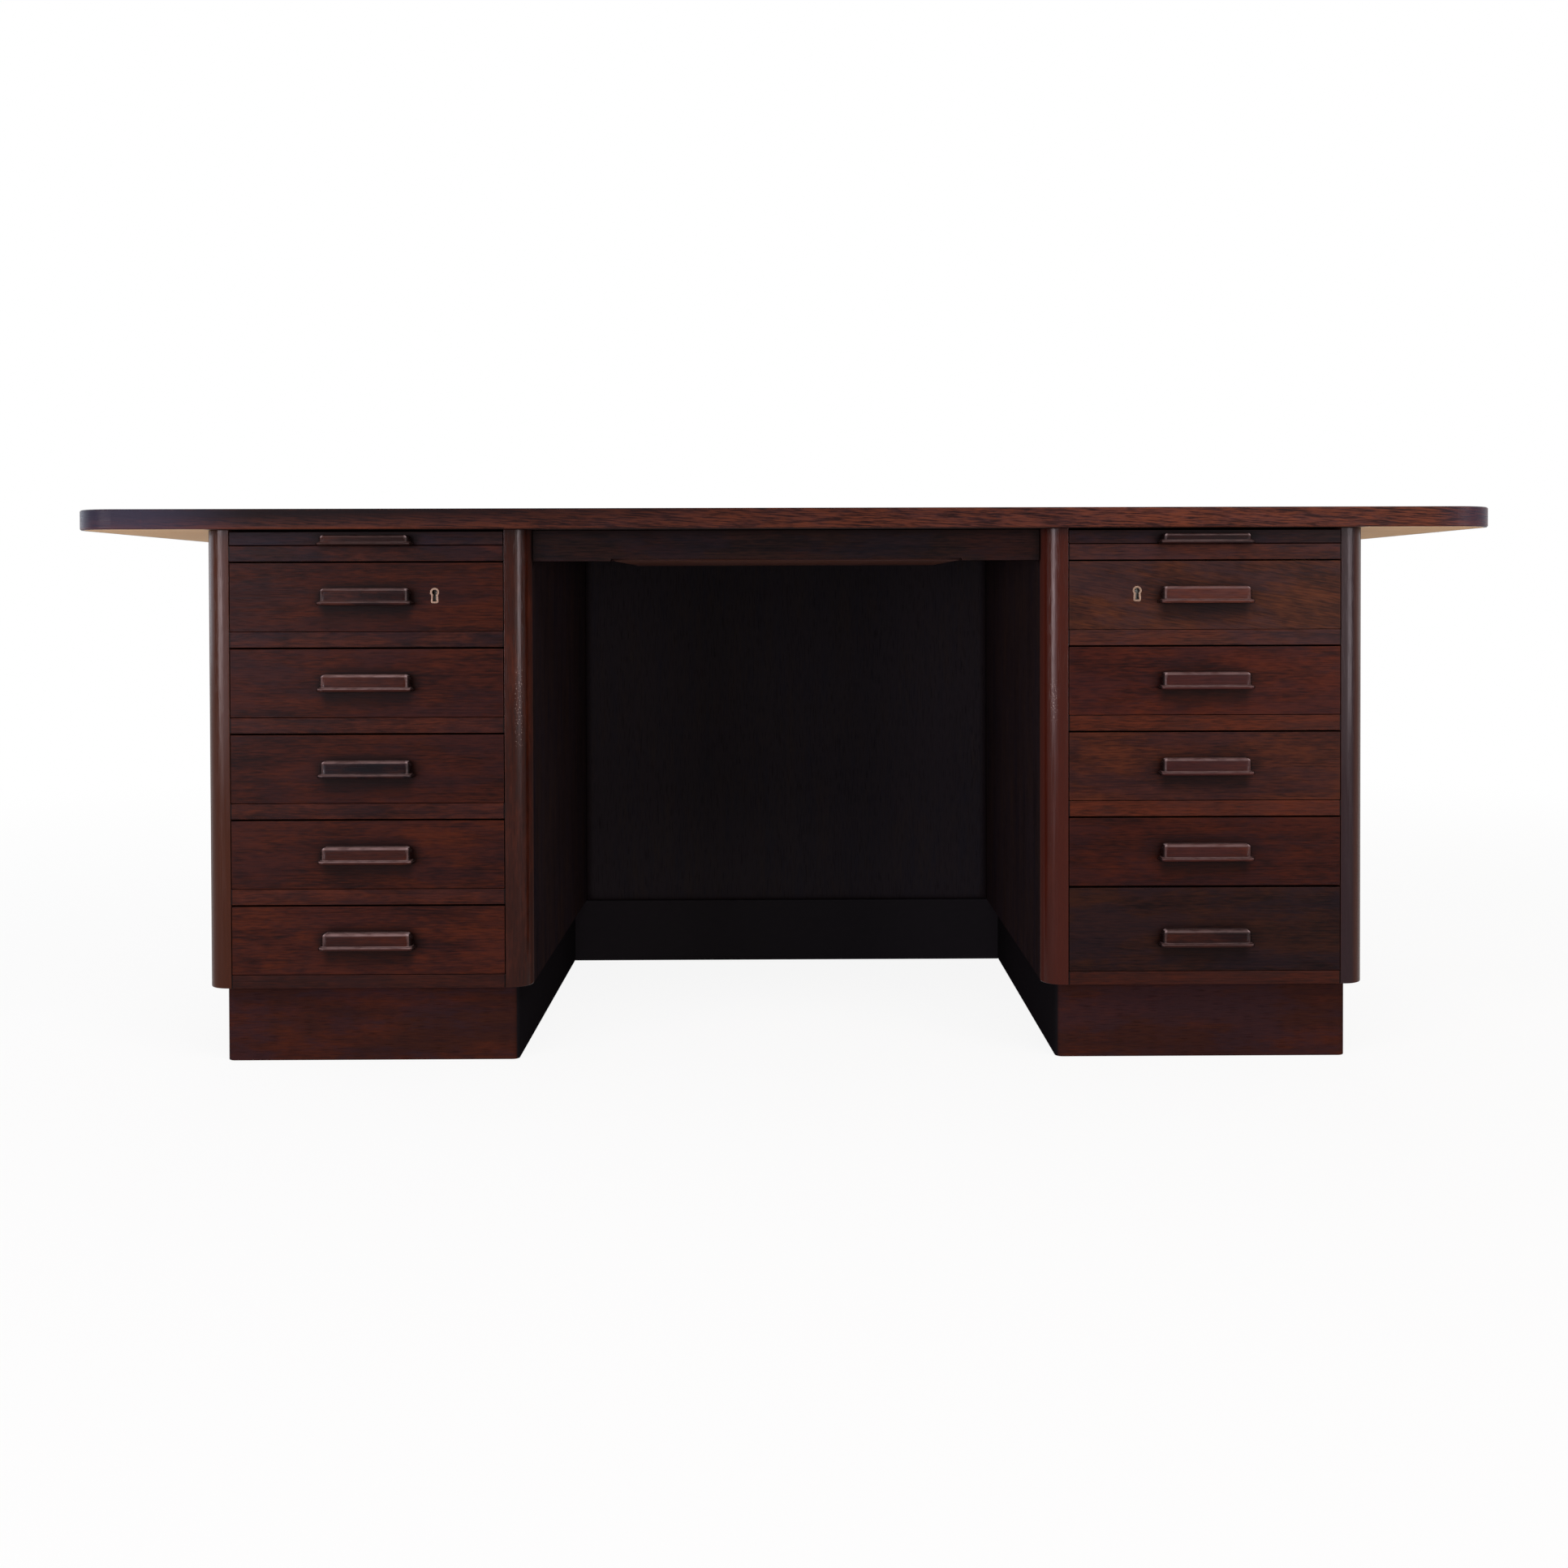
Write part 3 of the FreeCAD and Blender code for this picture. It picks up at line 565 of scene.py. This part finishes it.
def soiled_and_shaded(graph, colour, share):
    """The colour with old dirt and painted shade in the corners and round whatever stands on the surface.
    """
    # Darker where the surface is hemmed in: old dirt, and painted shade
    values = {"Distance": dirt_and_shade_reach}
    openness = graph.node("ShaderNodeAmbientOcclusion", values, samples=dirt_and_shade_samples).outputs["AO"]
    return graph.blend(graph.ramp(openness, *open_span, 0.0, share), colour, dirt_and_shade_tone)


def end_dulled(graph, share):
    """A roughness for the faces that turn to the ends of the desk."""
    return graph.ramp(graph.size(graph.facing()[0]), *end_span, 0.0, share)


def finished(graph, colour, lines, pores, finish, dull=0.0):
    """Lacquer over the grain, at least as rough as the dull share."""
    height = graph.calc("SUBTRACT", graph.product(lines, line_relief), pores)
    values = {"Strength": grain_strength, "Distance": grain_height, "Height": height}
    bump = graph.node("ShaderNodeBump", values)
    roughness = graph.ramp(lines, *line_span, finish.rough - smoother, finish.rough + rougher)
    shaded(graph, {"Base Color": colour, "Roughness": graph.calc("MAXIMUM", roughness, dull),
                   "Specular IOR Level": finish.specular, "Normal": bump.outputs[0]})


def wood(name):
    """Veneer or solid wood in one tone."""
    material, graph = new_material(name)
    board = boards[name]
    grain = board.grain
    colour, lines, pores = figured(graph, laid(graph, leaf=board.leaf), grain)
    colour = rubbed(graph, colour, grain, board.wear, tinted(grain.warm, bare_share))
    finished(graph, soiled_and_shaded(graph, colour, usual_dirt_and_shade), lines, pores, board.finish)
    return material


def core_wood():
    """Pale underside of the top, painted dark as shade where it shows over the drawers and the kneehole."""
    material, graph = new_material("core")
    place = graph.place()
    pale, lines, pores = figured(graph, place, core_grain)
    reach = graph.size(graph.split(place)[0])
    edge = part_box("right_outer_side")[1].x
    # Painted shade between the outer sides of the pedestals
    colour = graph.blend(graph.ramp(reach, edge - underside_shade_fade, edge), dark_tone, pale)
    finished(graph, colour, lines, pores, core_finish)
    return material


def fibrous(graph, colour, place):
    """The colour with the coarse dark and bright fibres of the edge strip."""
    fibres = graph.noise(place, fibre_layer, edge_grain.way, edge_grain.seed)
    colour = graph.blend(graph.ramp(fibres, *fibre_bright_span, 0.0, fibre_bright_share), colour, edge_warm)
    return graph.blend(graph.ramp(fibres, *fibre_dark_span, 0.0, fibre_dark_share), colour, fibre_and_shade_tone)


def edge_wood():
    """Edge strip of the top, with painted shade towards the left that deepens towards the upper face there,
    and painted bluish reflections at both ends.
    """
    material, graph = new_material("top_edge")
    fine = graph.vector("MULTIPLY", laid(graph, slope=edge_slope), (edge_fineness,) * 3)
    colour, lines, pores = figured(graph, fine, edge_grain)
    colour = fibrous(graph, colour, fine)
    low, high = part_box("top_lipping")
    across, _, height = graph.split(graph.place())
    # Painted shade: darker to the left, and deeper towards the upper face on the left part
    rise = graph.product(graph.ramp(height, low.z, high.z, *edge_shade_rise_span),
                         graph.ramp(across, 0.0, edge_shade_rise_left, 0.0, edge_shade_rise))
    dark = graph.ramp(across, edge_shade_right, edge_shade_left, edge_shade_least, edge_shade_most)
    dark = graph.product(dark, graph.calc("ADD", rise, 1.0))
    colour = graph.blend(dark, colour, fibre_and_shade_tone)
    worn = graph.product(graph.ramp(height, low.z + edge_worn_height, low.z, 0.0, edge_worn_share),
                         graph.ramp(across, edge_worn_right, edge_worn_left))
    colour = graph.blend(worn, colour, edge_warm)
    # Painted bluish reflections at both ends
    for start, end in ((edge_reflection_right, edge_reflection_left), (edge_reflection_far_left, edge_reflection_far_right)):
        reflection_share = graph.ramp(across, start, end, 0.0, edge_reflection_share)
        colour = graph.blend(reflection_share, colour, edge_reflection_tone)
    colour = rubbed(graph, colour, edge_grain, edge_wear, tinted(edge_warm, edge_bare_share))
    finished(graph, colour, lines, pores, edge_finish, end_dulled(graph, edge_end_dull))
    return material


def chipped(graph, colour, side, spots):
    """The colour with pale chips on the inner front post of one side, in a short stretch of its height."""
    low, high = post_chips[side]
    x, _, z = graph.split(graph.place())
    inner = min(abs(corner.x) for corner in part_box(f"{side}_inner_side"))
    across = graph.band(graph.product(x, side_signs[side]), inner + chip_near, inner + chip_far, chip_soft)
    along = graph.band(z, low, high, chip_fade)
    return graph.blend(graph.product(across, along, spots), colour, chip_tone)


def post_wood():
    """Posts: redder on the right, browner outside, with a painted bluish reflection on the outer right one,
    chipped on the inner.
    """
    material, graph = new_material("posts")
    place = graph.place()
    left, lines, pores = figured(graph, place, post_grain)
    x, y, _ = graph.split(place)
    right = graph.blend(right_post_share, left, right_post_tone)
    colour = graph.blend(graph.ramp(x, *post_side_span), left, right)
    reach = graph.size(x)
    outer = graph.ramp(reach, outer_post_start - outer_post_soft, outer_post_start, 0.0, post_outer_share)
    colour = graph.blend(outer, colour, amber_tone)
    # Painted bluish reflection on the front of the outer right post
    painted_reflection = graph.product(graph.band(x, outer_post_start, post_reflection_end, outer_post_soft),
                          graph.ramp(graph.facing()[1], *post_reflection_facing))
    colour = graph.blend(painted_reflection, colour, post_reflection_tone)
    spots = graph.ramp(graph.noise(place, chip_layer, post_grain.way, post_grain.seed), *chip_span)
    spots = graph.product(spots, graph.ramp(y, *chip_front_span))
    for side in SIDES:
        colour = chipped(graph, colour, side, spots)
    colour = rubbed(graph, colour, post_grain, post_wear, tinted(rosewood_warm, post_bare_share))
    dull = end_dulled(graph, post_end_dull)
    finished(graph, soiled_and_shaded(graph, colour, post_dirt_and_shade), lines, pores, post_finish, dull)
    return material


def rail_wood(side):
    """Rails of one pedestal: the tone changes from upper to lower ones, with dark lines at the posts."""
    material, graph = new_material(f"{side}_rail_wood")
    place = graph.place()
    grain = high_rail_grains[side]
    colour, lines, pores = figured(graph, place, grain)
    lower, _, _ = figured(graph, place, grain._replace(tone=low_rail_tones[side]))
    across, _, height = graph.split(place)
    colour = graph.blend(graph.ramp(height, rail_change_high, rail_change_low), colour, lower)
    foot = graph.ramp(height, foot_rail_high, foot_rail_low, 0.0, foot_rail_share)
    colour = graph.blend(foot, colour, dark_tone)
    colour = rubbed(graph, colour, grain, usual_wear, tinted(rosewood_warm, bare_share))
    low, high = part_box(f"{side}_drawer_2_front")
    clear = graph.band(across, low.x + joint_line, high.x - joint_line, joint_line)
    colour = graph.blend(graph.calc("SUBTRACT", 1.0, clear), colour, dirt_and_shade_tone)
    finished(graph, soiled_and_shaded(graph, colour, rail_dirt_and_shade), lines, pores, rail_finish)
    return material


def plinth_wood():
    """Plinth, with painted shade, nearly black, on the faces towards the kneehole."""
    material, graph = new_material("plinth_wood")
    place = graph.place()
    colour, lines, pores = figured(graph, place, plinth_grain)
    x, y, _ = graph.split(place)
    reach = graph.size(x)
    facing_x, facing_y, _ = graph.facing()
    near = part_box("right_inner_side")[0].x + plinth_reach / 2
    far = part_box("right_inner_side")[0].x + plinth_reach
    # Painted shade on the faces towards the kneehole
    behind = graph.product(graph.ramp(y, 0.0, plinth_reach), graph.ramp(facing_y, turned_high, turned_low))
    across = graph.product(behind, graph.ramp(reach, near, far, 1.0, 0.0))
    aside = graph.ramp(graph.size(facing_x), turned_low, turned_high)
    inner = graph.product(aside, graph.ramp(reach, far, near))
    colour = rubbed(graph, colour, plinth_grain, plinth_wear, tinted(rosewood_warm, plinth_bare_share))
    colour = graph.blend(across, colour, knee_shade_tone)
    colour = graph.blend(inner, colour, tinted(knee_shade_tone, knee_inner_shade_share))
    finished(graph, colour, lines, pores, knee_finish)
    return material


def panel_wood():
    """Modesty panel: painted shade, nearly black, towards the kneehole, and veneered like the sides at the
    back.
    """
    material, graph = new_material("panels")
    place = graph.place()
    dark, lines, pores = figured(graph, place, panel_shade_grain)
    red, _, _ = figured(graph, place, panel_back_grain)
    # Painted shade: nearly black on the face towards the kneehole
    colour = graph.blend(graph.ramp(graph.facing()[1], turned_low, turned_high), dark, red)
    finished(graph, soiled_and_shaded(graph, colour, panel_dirt_and_shade), lines, pores, knee_finish)
    return material


def slide_wood():
    """Writing slides: rosewood above and below; on the front edge, painted shade under the top with a
    bluish painted sheen.
    """
    material, graph = new_material("slide_wood")
    place = graph.place()
    face, lines, pores = figured(graph, place, slide_grain)
    front, _, _ = figured(graph, place, slide_edge_shade_grain)
    # Painted shade and sheen on the front edge
    colour = graph.blend(graph.ramp(graph.facing()[1], -turned_low, -turned_high), face, front)
    colour = rubbed(graph, colour, slide_grain, usual_wear, tinted(rosewood_tone, bare_share))
    finished(graph, soiled_and_shaded(graph, colour, usual_dirt_and_shade), lines, pores, lacquer)
    return material


def shadowed_under_pull(graph, colour, pull):
    """The colour with a painted shadow under a pull."""
    low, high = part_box(pull)
    middle = (low + high) / 2
    across, _, height = graph.split(graph.place())
    # Painted shadow below the pull
    under = graph.band(height, low.z - under_pull_shadow_full, (low.z + middle.z) / 2, under_pull_shadow_fade)
    below = graph.ramp(height, middle.z, high.z, 1.0, 0.0)
    beside = graph.band(across, low.x + under_pull_shadow_side_fade, high.x - under_pull_shadow_side_fade, under_pull_shadow_side_fade)
    return graph.blend(graph.product(under, below, beside, under_pull_shadow_share), colour, dirt_and_shade_tone)


def front_wood(side, index):
    """One drawer front, with a painted shadow under its pull."""
    material, graph = new_material(f"{side}_front_{index}_wood")
    front = fronts[side][index - 1]
    tone = tinted(front.tone, front.bright_share)
    warm = scaled(tone, warm_shares)
    grain = Grain(front_seeds[side][index - 1], along_x, tone, warm, front.warmth)
    colour, lines, pores = figured(graph, laid(graph, slope=front.slope), grain)
    colour = rubbed(graph, colour, grain, usual_wear, tinted(warm, bare_share))
    colour = shadowed_under_pull(graph, colour, f"{side}_drawer_{index}_pull")
    finished(graph, soiled_and_shaded(graph, colour, front_dirt_and_shade[side]), lines, pores, lacquer)
    return material


def pull_regions(graph, name):
    """Shares of a pull's surface: the rim round its face, the rim's corners, and the ends past the face."""
    low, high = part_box(name)
    half = (high.x - low.x) / 2
    across, _, height = graph.split(graph.place())
    offset = graph.size(graph.calc("SUBTRACT", across, (low.x + high.x) / 2))
    body = graph.ramp(height, low.z + lip_rise, low.z + lip_rise + rim_soft)
    past_side = graph.past(offset, half - pull_end_run - rim_corner)
    past_top = graph.past(height, high.z - rim_corner)
    reach = graph.measure("LENGTH", graph.joined(past_side, past_top))
    rim = graph.product(graph.band(reach, rim_corner - rim_width, rim_corner, rim_soft), body)
    turn = graph.product(graph.ramp(past_side, 0.0, rim_corner), graph.ramp(past_top, 0.0, rim_corner))
    ends = graph.product(graph.ramp(reach, rim_corner, rim_corner + rim_soft), body)
    lip_ends = graph.ramp(offset, half - lip_end_run, half - lip_end_run + rim_soft)
    return rim, graph.product(turn, rim), graph.calc("MAXIMUM", ends, lip_ends)


def pull_wood(side, index, name):
    """Pull with pale edges round its face, partly wear and partly painted highlight, a painted glint at the
    rim's upper corners, and painted shade on its ends past the face and at the ends of its lip.
    """
    material, graph = new_material(f"{name}_wood")
    place = graph.place()
    pull = pulls[side][index]
    tone = tinted(pull.tone, pull.bright_share)
    grain = Grain(pull_seeds[side][index], along_x, tone, rosewood_warm, pull_warmth, pull_contrast)
    colour, lines, pores = figured(graph, place, grain)
    rim, corner, ends = pull_regions(graph, name)
    _, facing_y, facing_z = graph.facing()
    # Pale rounded top and rim of the face: wear and painted highlight
    top = graph.product(graph.ramp(graph.size(facing_y), *round_span), graph.ramp(facing_z, *upper_span))
    broken = graph.ramp(graph.noise(place, rub_and_highlight_layer, grain.way, grain.seed), *rub_and_highlight_span, rub_and_highlight_least)
    worn = graph.product(graph.calc("MAXIMUM", top, graph.product(rim, upright_share)), broken)
    colour = graph.blend(graph.product(worn, pull.polish), colour, rub_and_highlight_tone)
    # Painted glint at the rim's upper corners
    colour = graph.blend(graph.product(corner, glint_share), colour, glint_tone)
    # Painted shade on the ends past the face and at the lip's ends
    colour = graph.blend(graph.product(ends, end_shade), colour, dirt_and_shade_tone)
    finished(graph, soiled_and_shaded(graph, colour, pull_dirt_and_shade), lines, pores, pull_finish)
    return material


def metal(name):
    """Old metal: a dull film in patches and fine rub marks."""
    material, graph = new_material(name)
    seed, tone, stain, rough = metals[name]
    place = graph.place()
    film = graph.ramp(graph.noise(place, film_layer, along_z, seed), *film_span)
    scratches = graph.noise(place, scratch_layer, along_z, seed)
    values = {"Strength": scratch_strength, "Distance": scratch_height, "Height": scratches}
    bump = graph.node("ShaderNodeBump", values)
    roughness = graph.ramp(film, 0.0, 1.0, rough, rough + film_dull)
    shaded(graph, {"Base Color": graph.blend(film, tone, stain), "Metallic": 1.0, "Roughness": roughness,
                   "Normal": bump.outputs[0]})
    return material


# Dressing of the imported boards

def crease_group():
    """A node group that shades smoothly except over sharp edges."""
    group = bpy.data.node_groups.new("crease", "GeometryNodeTree")
    group.interface.new_socket("Geometry", in_out="INPUT", socket_type="NodeSocketGeometry")
    group.interface.new_socket("Geometry", in_out="OUTPUT", socket_type="NodeSocketGeometry")
    graph = Graph(group)
    source = graph.node("NodeGroupInput", {}).outputs[0]
    angle = graph.node("GeometryNodeInputMeshEdgeAngle", {}).outputs[0]
    limits = {0: angle, 1: crease_angle}
    sharp = graph.node("FunctionNodeCompare", limits, operation="GREATER_THAN").outputs[0]
    smooth = graph.node("GeometryNodeSetShadeSmooth", {"Geometry": source}, domain="FACE").outputs[0]
    values = {"Geometry": smooth, "Selection": sharp, "Shade Smooth": False}
    creased = graph.node("GeometryNodeSetShadeSmooth", values, domain="EDGE").outputs[0]
    graph.node("NodeGroupOutput", {0: creased})
    return group


crease = crease_group()


def shade(piece):
    """Smooth shading over curves, flat shading on flat faces."""
    piece.modifiers.new("crease", "NODES").node_group = crease
    weighted = piece.modifiers.new("normals", "WEIGHTED_NORMAL")
    weighted.keep_sharp = True


def soften(piece, width, segments):
    """Rounds the arrises of a packed board."""
    weld = piece.modifiers.new("weld", "WELD")
    weld.merge_threshold = weld_reach
    flat = piece.modifiers.new("flat", "DECIMATE")
    flat.decimate_type = "DISSOLVE"
    flat.angle_limit = flat_angle
    bevel = piece.modifiers.new("arris", "BEVEL")
    bevel.width = width
    bevel.segments = segments
    bevel.limit_method = "ANGLE"
    bevel.angle_limit = arris_angle
    bevel.use_clamp_overlap = False
    shade(piece)


def paint(name, material):
    """Gives a packed board its material and leaves its shape as it is."""
    piece = nodes[name]
    piece.data.materials.clear()
    piece.data.materials.append(material)
    return piece


def dress(name, material, width=arris_width, segments=arris_segments):
    """Gives a packed board its material and rounded arrises."""
    piece = paint(name, material)
    custom = piece.data.attributes.get("custom_normal")
    if custom:
        piece.data.attributes.remove(custom)
    soften(piece, width, segments)


def dress_top():
    dress("top_core", core_wood(), fine_arris)
    dress("top_veneer", wood("top_face"), fine_arris)
    paint("top_lipping", edge_wood())


def dress_carcass():
    post = post_wood()
    knee_side = wood("knee_sides")
    side_board = wood("sides")
    inner = wood("beech")
    for name in ("front_posts", "rear_posts"):
        dress(name, post)
    for name in ("top_tenons", "pedestal_bottoms", "drawer_runners"):
        dress(name, inner)
    dress("drawer_stops", inner, fine_arris)
    dress("pedestal_backs", side_board)
    dress("plinth", plinth_wood())
    dress("modesty_panel", panel_wood())
    for side in SIDES:
        dress(f"{side}_inner_side", knee_side)
        dress(f"{side}_outer_side", side_board)
        dress(f"{side}_rails", rail_wood(side))


def dress_pull(side, index, name):
    dress(name, pull_wood(side, index, name), pull_arris, pull_segments)


def dress_drawers():
    box = wood("drawer_boards")
    slide = slide_wood()
    for side in SIDES:
        for index in DRAWERS:
            name = f"{side}_drawer_{index}"
            dress(f"{name}_front", front_wood(side, index))
            dress(f"{name}_box", box, fine_arris)
            dress_pull(side, index, f"{name}_pull")
        dress(f"{side}_slide_board", slide)
        dress_pull(side, SLIDE, f"{side}_slide_pull")
    dress("pencil_drawer_front", wood("apron_wood"))
    paint("pencil_drawer_box", wood("pencil_boards"))


def dress_locks():
    brass = metal("brass")
    steel = metal("lock_steel")
    for side in SIDES:
        dress(f"{side}_escutcheon", brass, fine_arris)
        dress(f"{side}_lock_case", steel, fine_arris)
        dress(f"{side}_lock_bolt", brass, fine_arris)
    return brass, steel


# Screws

def screw_head(shape, place, toward, radius, height, turn):
    """Adds a slotted head to a mesh, standing on a place and facing along a direction."""
    gap = radius * slot_share
    slot_floor = height * (1 - slot_depth_share)
    stand = Vector(toward).to_track_quat("Z", "Y").to_matrix().to_4x4()
    seat = Matrix.Translation(place) @ stand @ Matrix.Rotation(turn, len(stand), "Z")
    reach = math.asin(gap / radius)
    for way in (0, math.pi):
        rings = []
        for share, rise in head_level_shares:
            ring = []
            for step in range(head_segments + 1):
                angle = way + reach + (math.pi - 2 * reach) * step / head_segments
                x = radius * share * math.cos(angle)
                y = radius * math.sin(angle) * share
                y = max(y, gap) if way == 0 else min(y, -gap)
                ring.append(shape.verts.new(seat @ Vector((x, y, height * rise))))
            rings.append(ring)
        for low, high in zip(rings, rings[1:]):
            for step in range(head_segments):
                shape.faces.new((low[step], low[step + 1], high[step + 1], high[step]))
            shape.faces.new((low[-1], low[0], high[0], high[-1]))
        shape.faces.new(rings[-1])
    ledge = math.sqrt(radius * radius - gap * gap) * dome_share
    base = [shape.verts.new(seat @ Vector((x, y, slot_floor)))
            for x, y in ((-ledge, -gap), (ledge, -gap), (ledge, gap), (-ledge, gap))]
    shape.faces.new(base)


def fasten(name, body, material, heads):
    """One piece with all the screw heads given as place, direction, radius and height."""
    shape = bmesh.new()
    for number, (place, toward, radius, height) in enumerate(heads):
        screw_head(shape, place, toward, radius, height, screw_turn * (number + 1))
    mesh = bpy.data.meshes.new(name)
    shape.to_mesh(mesh)
    shape.free()
    mesh.materials.append(material)
    piece = bpy.data.objects.new(name, mesh)
    bpy.context.scene.collection.objects.link(piece)
    shade(piece)
    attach(piece, body)


def make_screws(brass, steel):
    """Screws of the pulls, inside the drawers, and of the lock cases."""
    inward = along_y
    for side in SIDES:
        for index in DRAWERS:
            name = f"{side}_drawer_{index}"
            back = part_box(f"{name}_front")[1].y
            low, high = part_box(f"{name}_pull")
            middle = (low + high) / 2
            heads = [(Vector((middle.x + sign * pull_screw_spacing / 2, back, middle.z)), inward,
                      screw_radius, screw_height) for sign in side_signs.values()]
            fasten(f"{name}_pull_screws", name, brass, heads)
        low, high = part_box(f"{side}_lock_case")
        heads = [(Vector((x, high.y, z)), inward, small_screw_radius, small_screw_height)
                 for x in (low.x + lock_screw_inset, high.x - lock_screw_inset)
                 for z in (low.z + lock_screw_rise, high.z - lock_screw_drop)]
        fasten(f"{side}_lock_screws", f"{side}_drawer_1", steel, heads)


# Stage

def make_camera():
    data = bpy.data.cameras.new("camera")
    data.sensor_width = sensor_width
    data.lens = focal_pixels / frame_pixels * sensor_width
    data.shift_x = (frame_pixels / 2 - axis_pixel_x) / frame_pixels
    data.shift_y = (axis_pixel_y - frame_pixels / 2) / frame_pixels
    right = Vector((math.cos(camera_yaw), math.sin(camera_yaw), 0))
    ahead = Vector((-math.sin(camera_yaw) * math.cos(camera_pitch),
                    math.cos(camera_yaw) * math.cos(camera_pitch),
                    -math.sin(camera_pitch)))
    up = right.cross(ahead)
    turned_right = right * math.cos(camera_roll) + up * math.sin(camera_roll)
    turned_up = up * math.cos(camera_roll) - right * math.sin(camera_roll)
    axes = Matrix((turned_right, turned_up, -ahead)).transposed().to_4x4()
    camera = bpy.data.objects.new("camera", data)
    camera.matrix_world = Matrix.Translation(camera_place) @ axes
    bpy.context.scene.collection.objects.link(camera)
    bpy.context.scene.camera = camera


def make_lights():
    for lamp in lamps:
        data = bpy.data.lights.new(lamp.name, "AREA")
        data.shape = "RECTANGLE"
        data.size = lamp.width
        data.size_y = lamp.height
        data.energy = lamp.power
        data.color = lamp.colour
        light = bpy.data.objects.new(lamp.name, data)
        light.location = lamp.place
        aim = Vector(lamp.target) - Vector(lamp.place)
        light.rotation_euler = aim.to_track_quat("-Z", "Y").to_euler()
        bpy.context.scene.collection.objects.link(light)


def make_world():
    """White behind the desk; a dimmer even light from all round on its surfaces."""
    world = bpy.data.worlds.new("studio")
    world.use_nodes = True
    bpy.context.scene.world = world
    graph = Graph(world.node_tree)
    around = {"Color": fill_colour, "Strength": fill_strength}
    behind = {"Color": white, "Strength": white_strength}
    fill = graph.node("ShaderNodeBackground", around).outputs[0]
    backdrop = graph.node("ShaderNodeBackground", behind).outputs[0]
    mixed = graph.node("ShaderNodeMixShader", {0: graph.seen(), 1: fill, 2: backdrop}).outputs[0]
    graph.node("ShaderNodeOutputWorld", {"Surface": mixed})


def floor_material():
    """Pale floor that shows white with the desk's soft shadow and fades into the backdrop."""
    material, graph = new_material("floor_paint")
    lit = graph.node("ShaderNodeBsdfDiffuse", {"Color": floor_albedo}).outputs[0]
    glow = graph.node("ShaderNodeEmission", {"Color": white, "Strength": white_strength}).outputs[0]
    distance = graph.measure("LENGTH", graph.place())
    share = graph.ramp(distance, floor_fade_near, floor_fade_far, floor_white_share, 1.0)
    shown = graph.node("ShaderNodeMixShader", {0: share, 1: lit, 2: glow}).outputs[0]
    mixed = graph.node("ShaderNodeMixShader", {0: graph.seen(), 1: lit, 2: shown}).outputs[0]
    graph.node("ShaderNodeOutputMaterial", {"Surface": mixed})
    return material


def make_floor():
    mesh = bpy.data.meshes.new("floor")
    shape = bmesh.new()
    corners = ((-floor_half, -floor_half), (floor_half, -floor_half), (floor_half, floor_half),
               (-floor_half, floor_half))
    shape.faces.new([shape.verts.new((x, y, -floor_drop)) for x, y in corners])
    shape.to_mesh(mesh)
    shape.free()
    mesh.materials.append(floor_material())
    floor = bpy.data.objects.new("floor", mesh)
    bpy.context.scene.collection.objects.link(floor)


dress_top()
dress_carcass()
dress_drawers()
make_screws(*dress_locks())
make_camera()
make_lights()
make_world()
make_floor()
bpy.context.scene.view_settings.view_transform = "Standard"

bpy.context.view_layer.update()
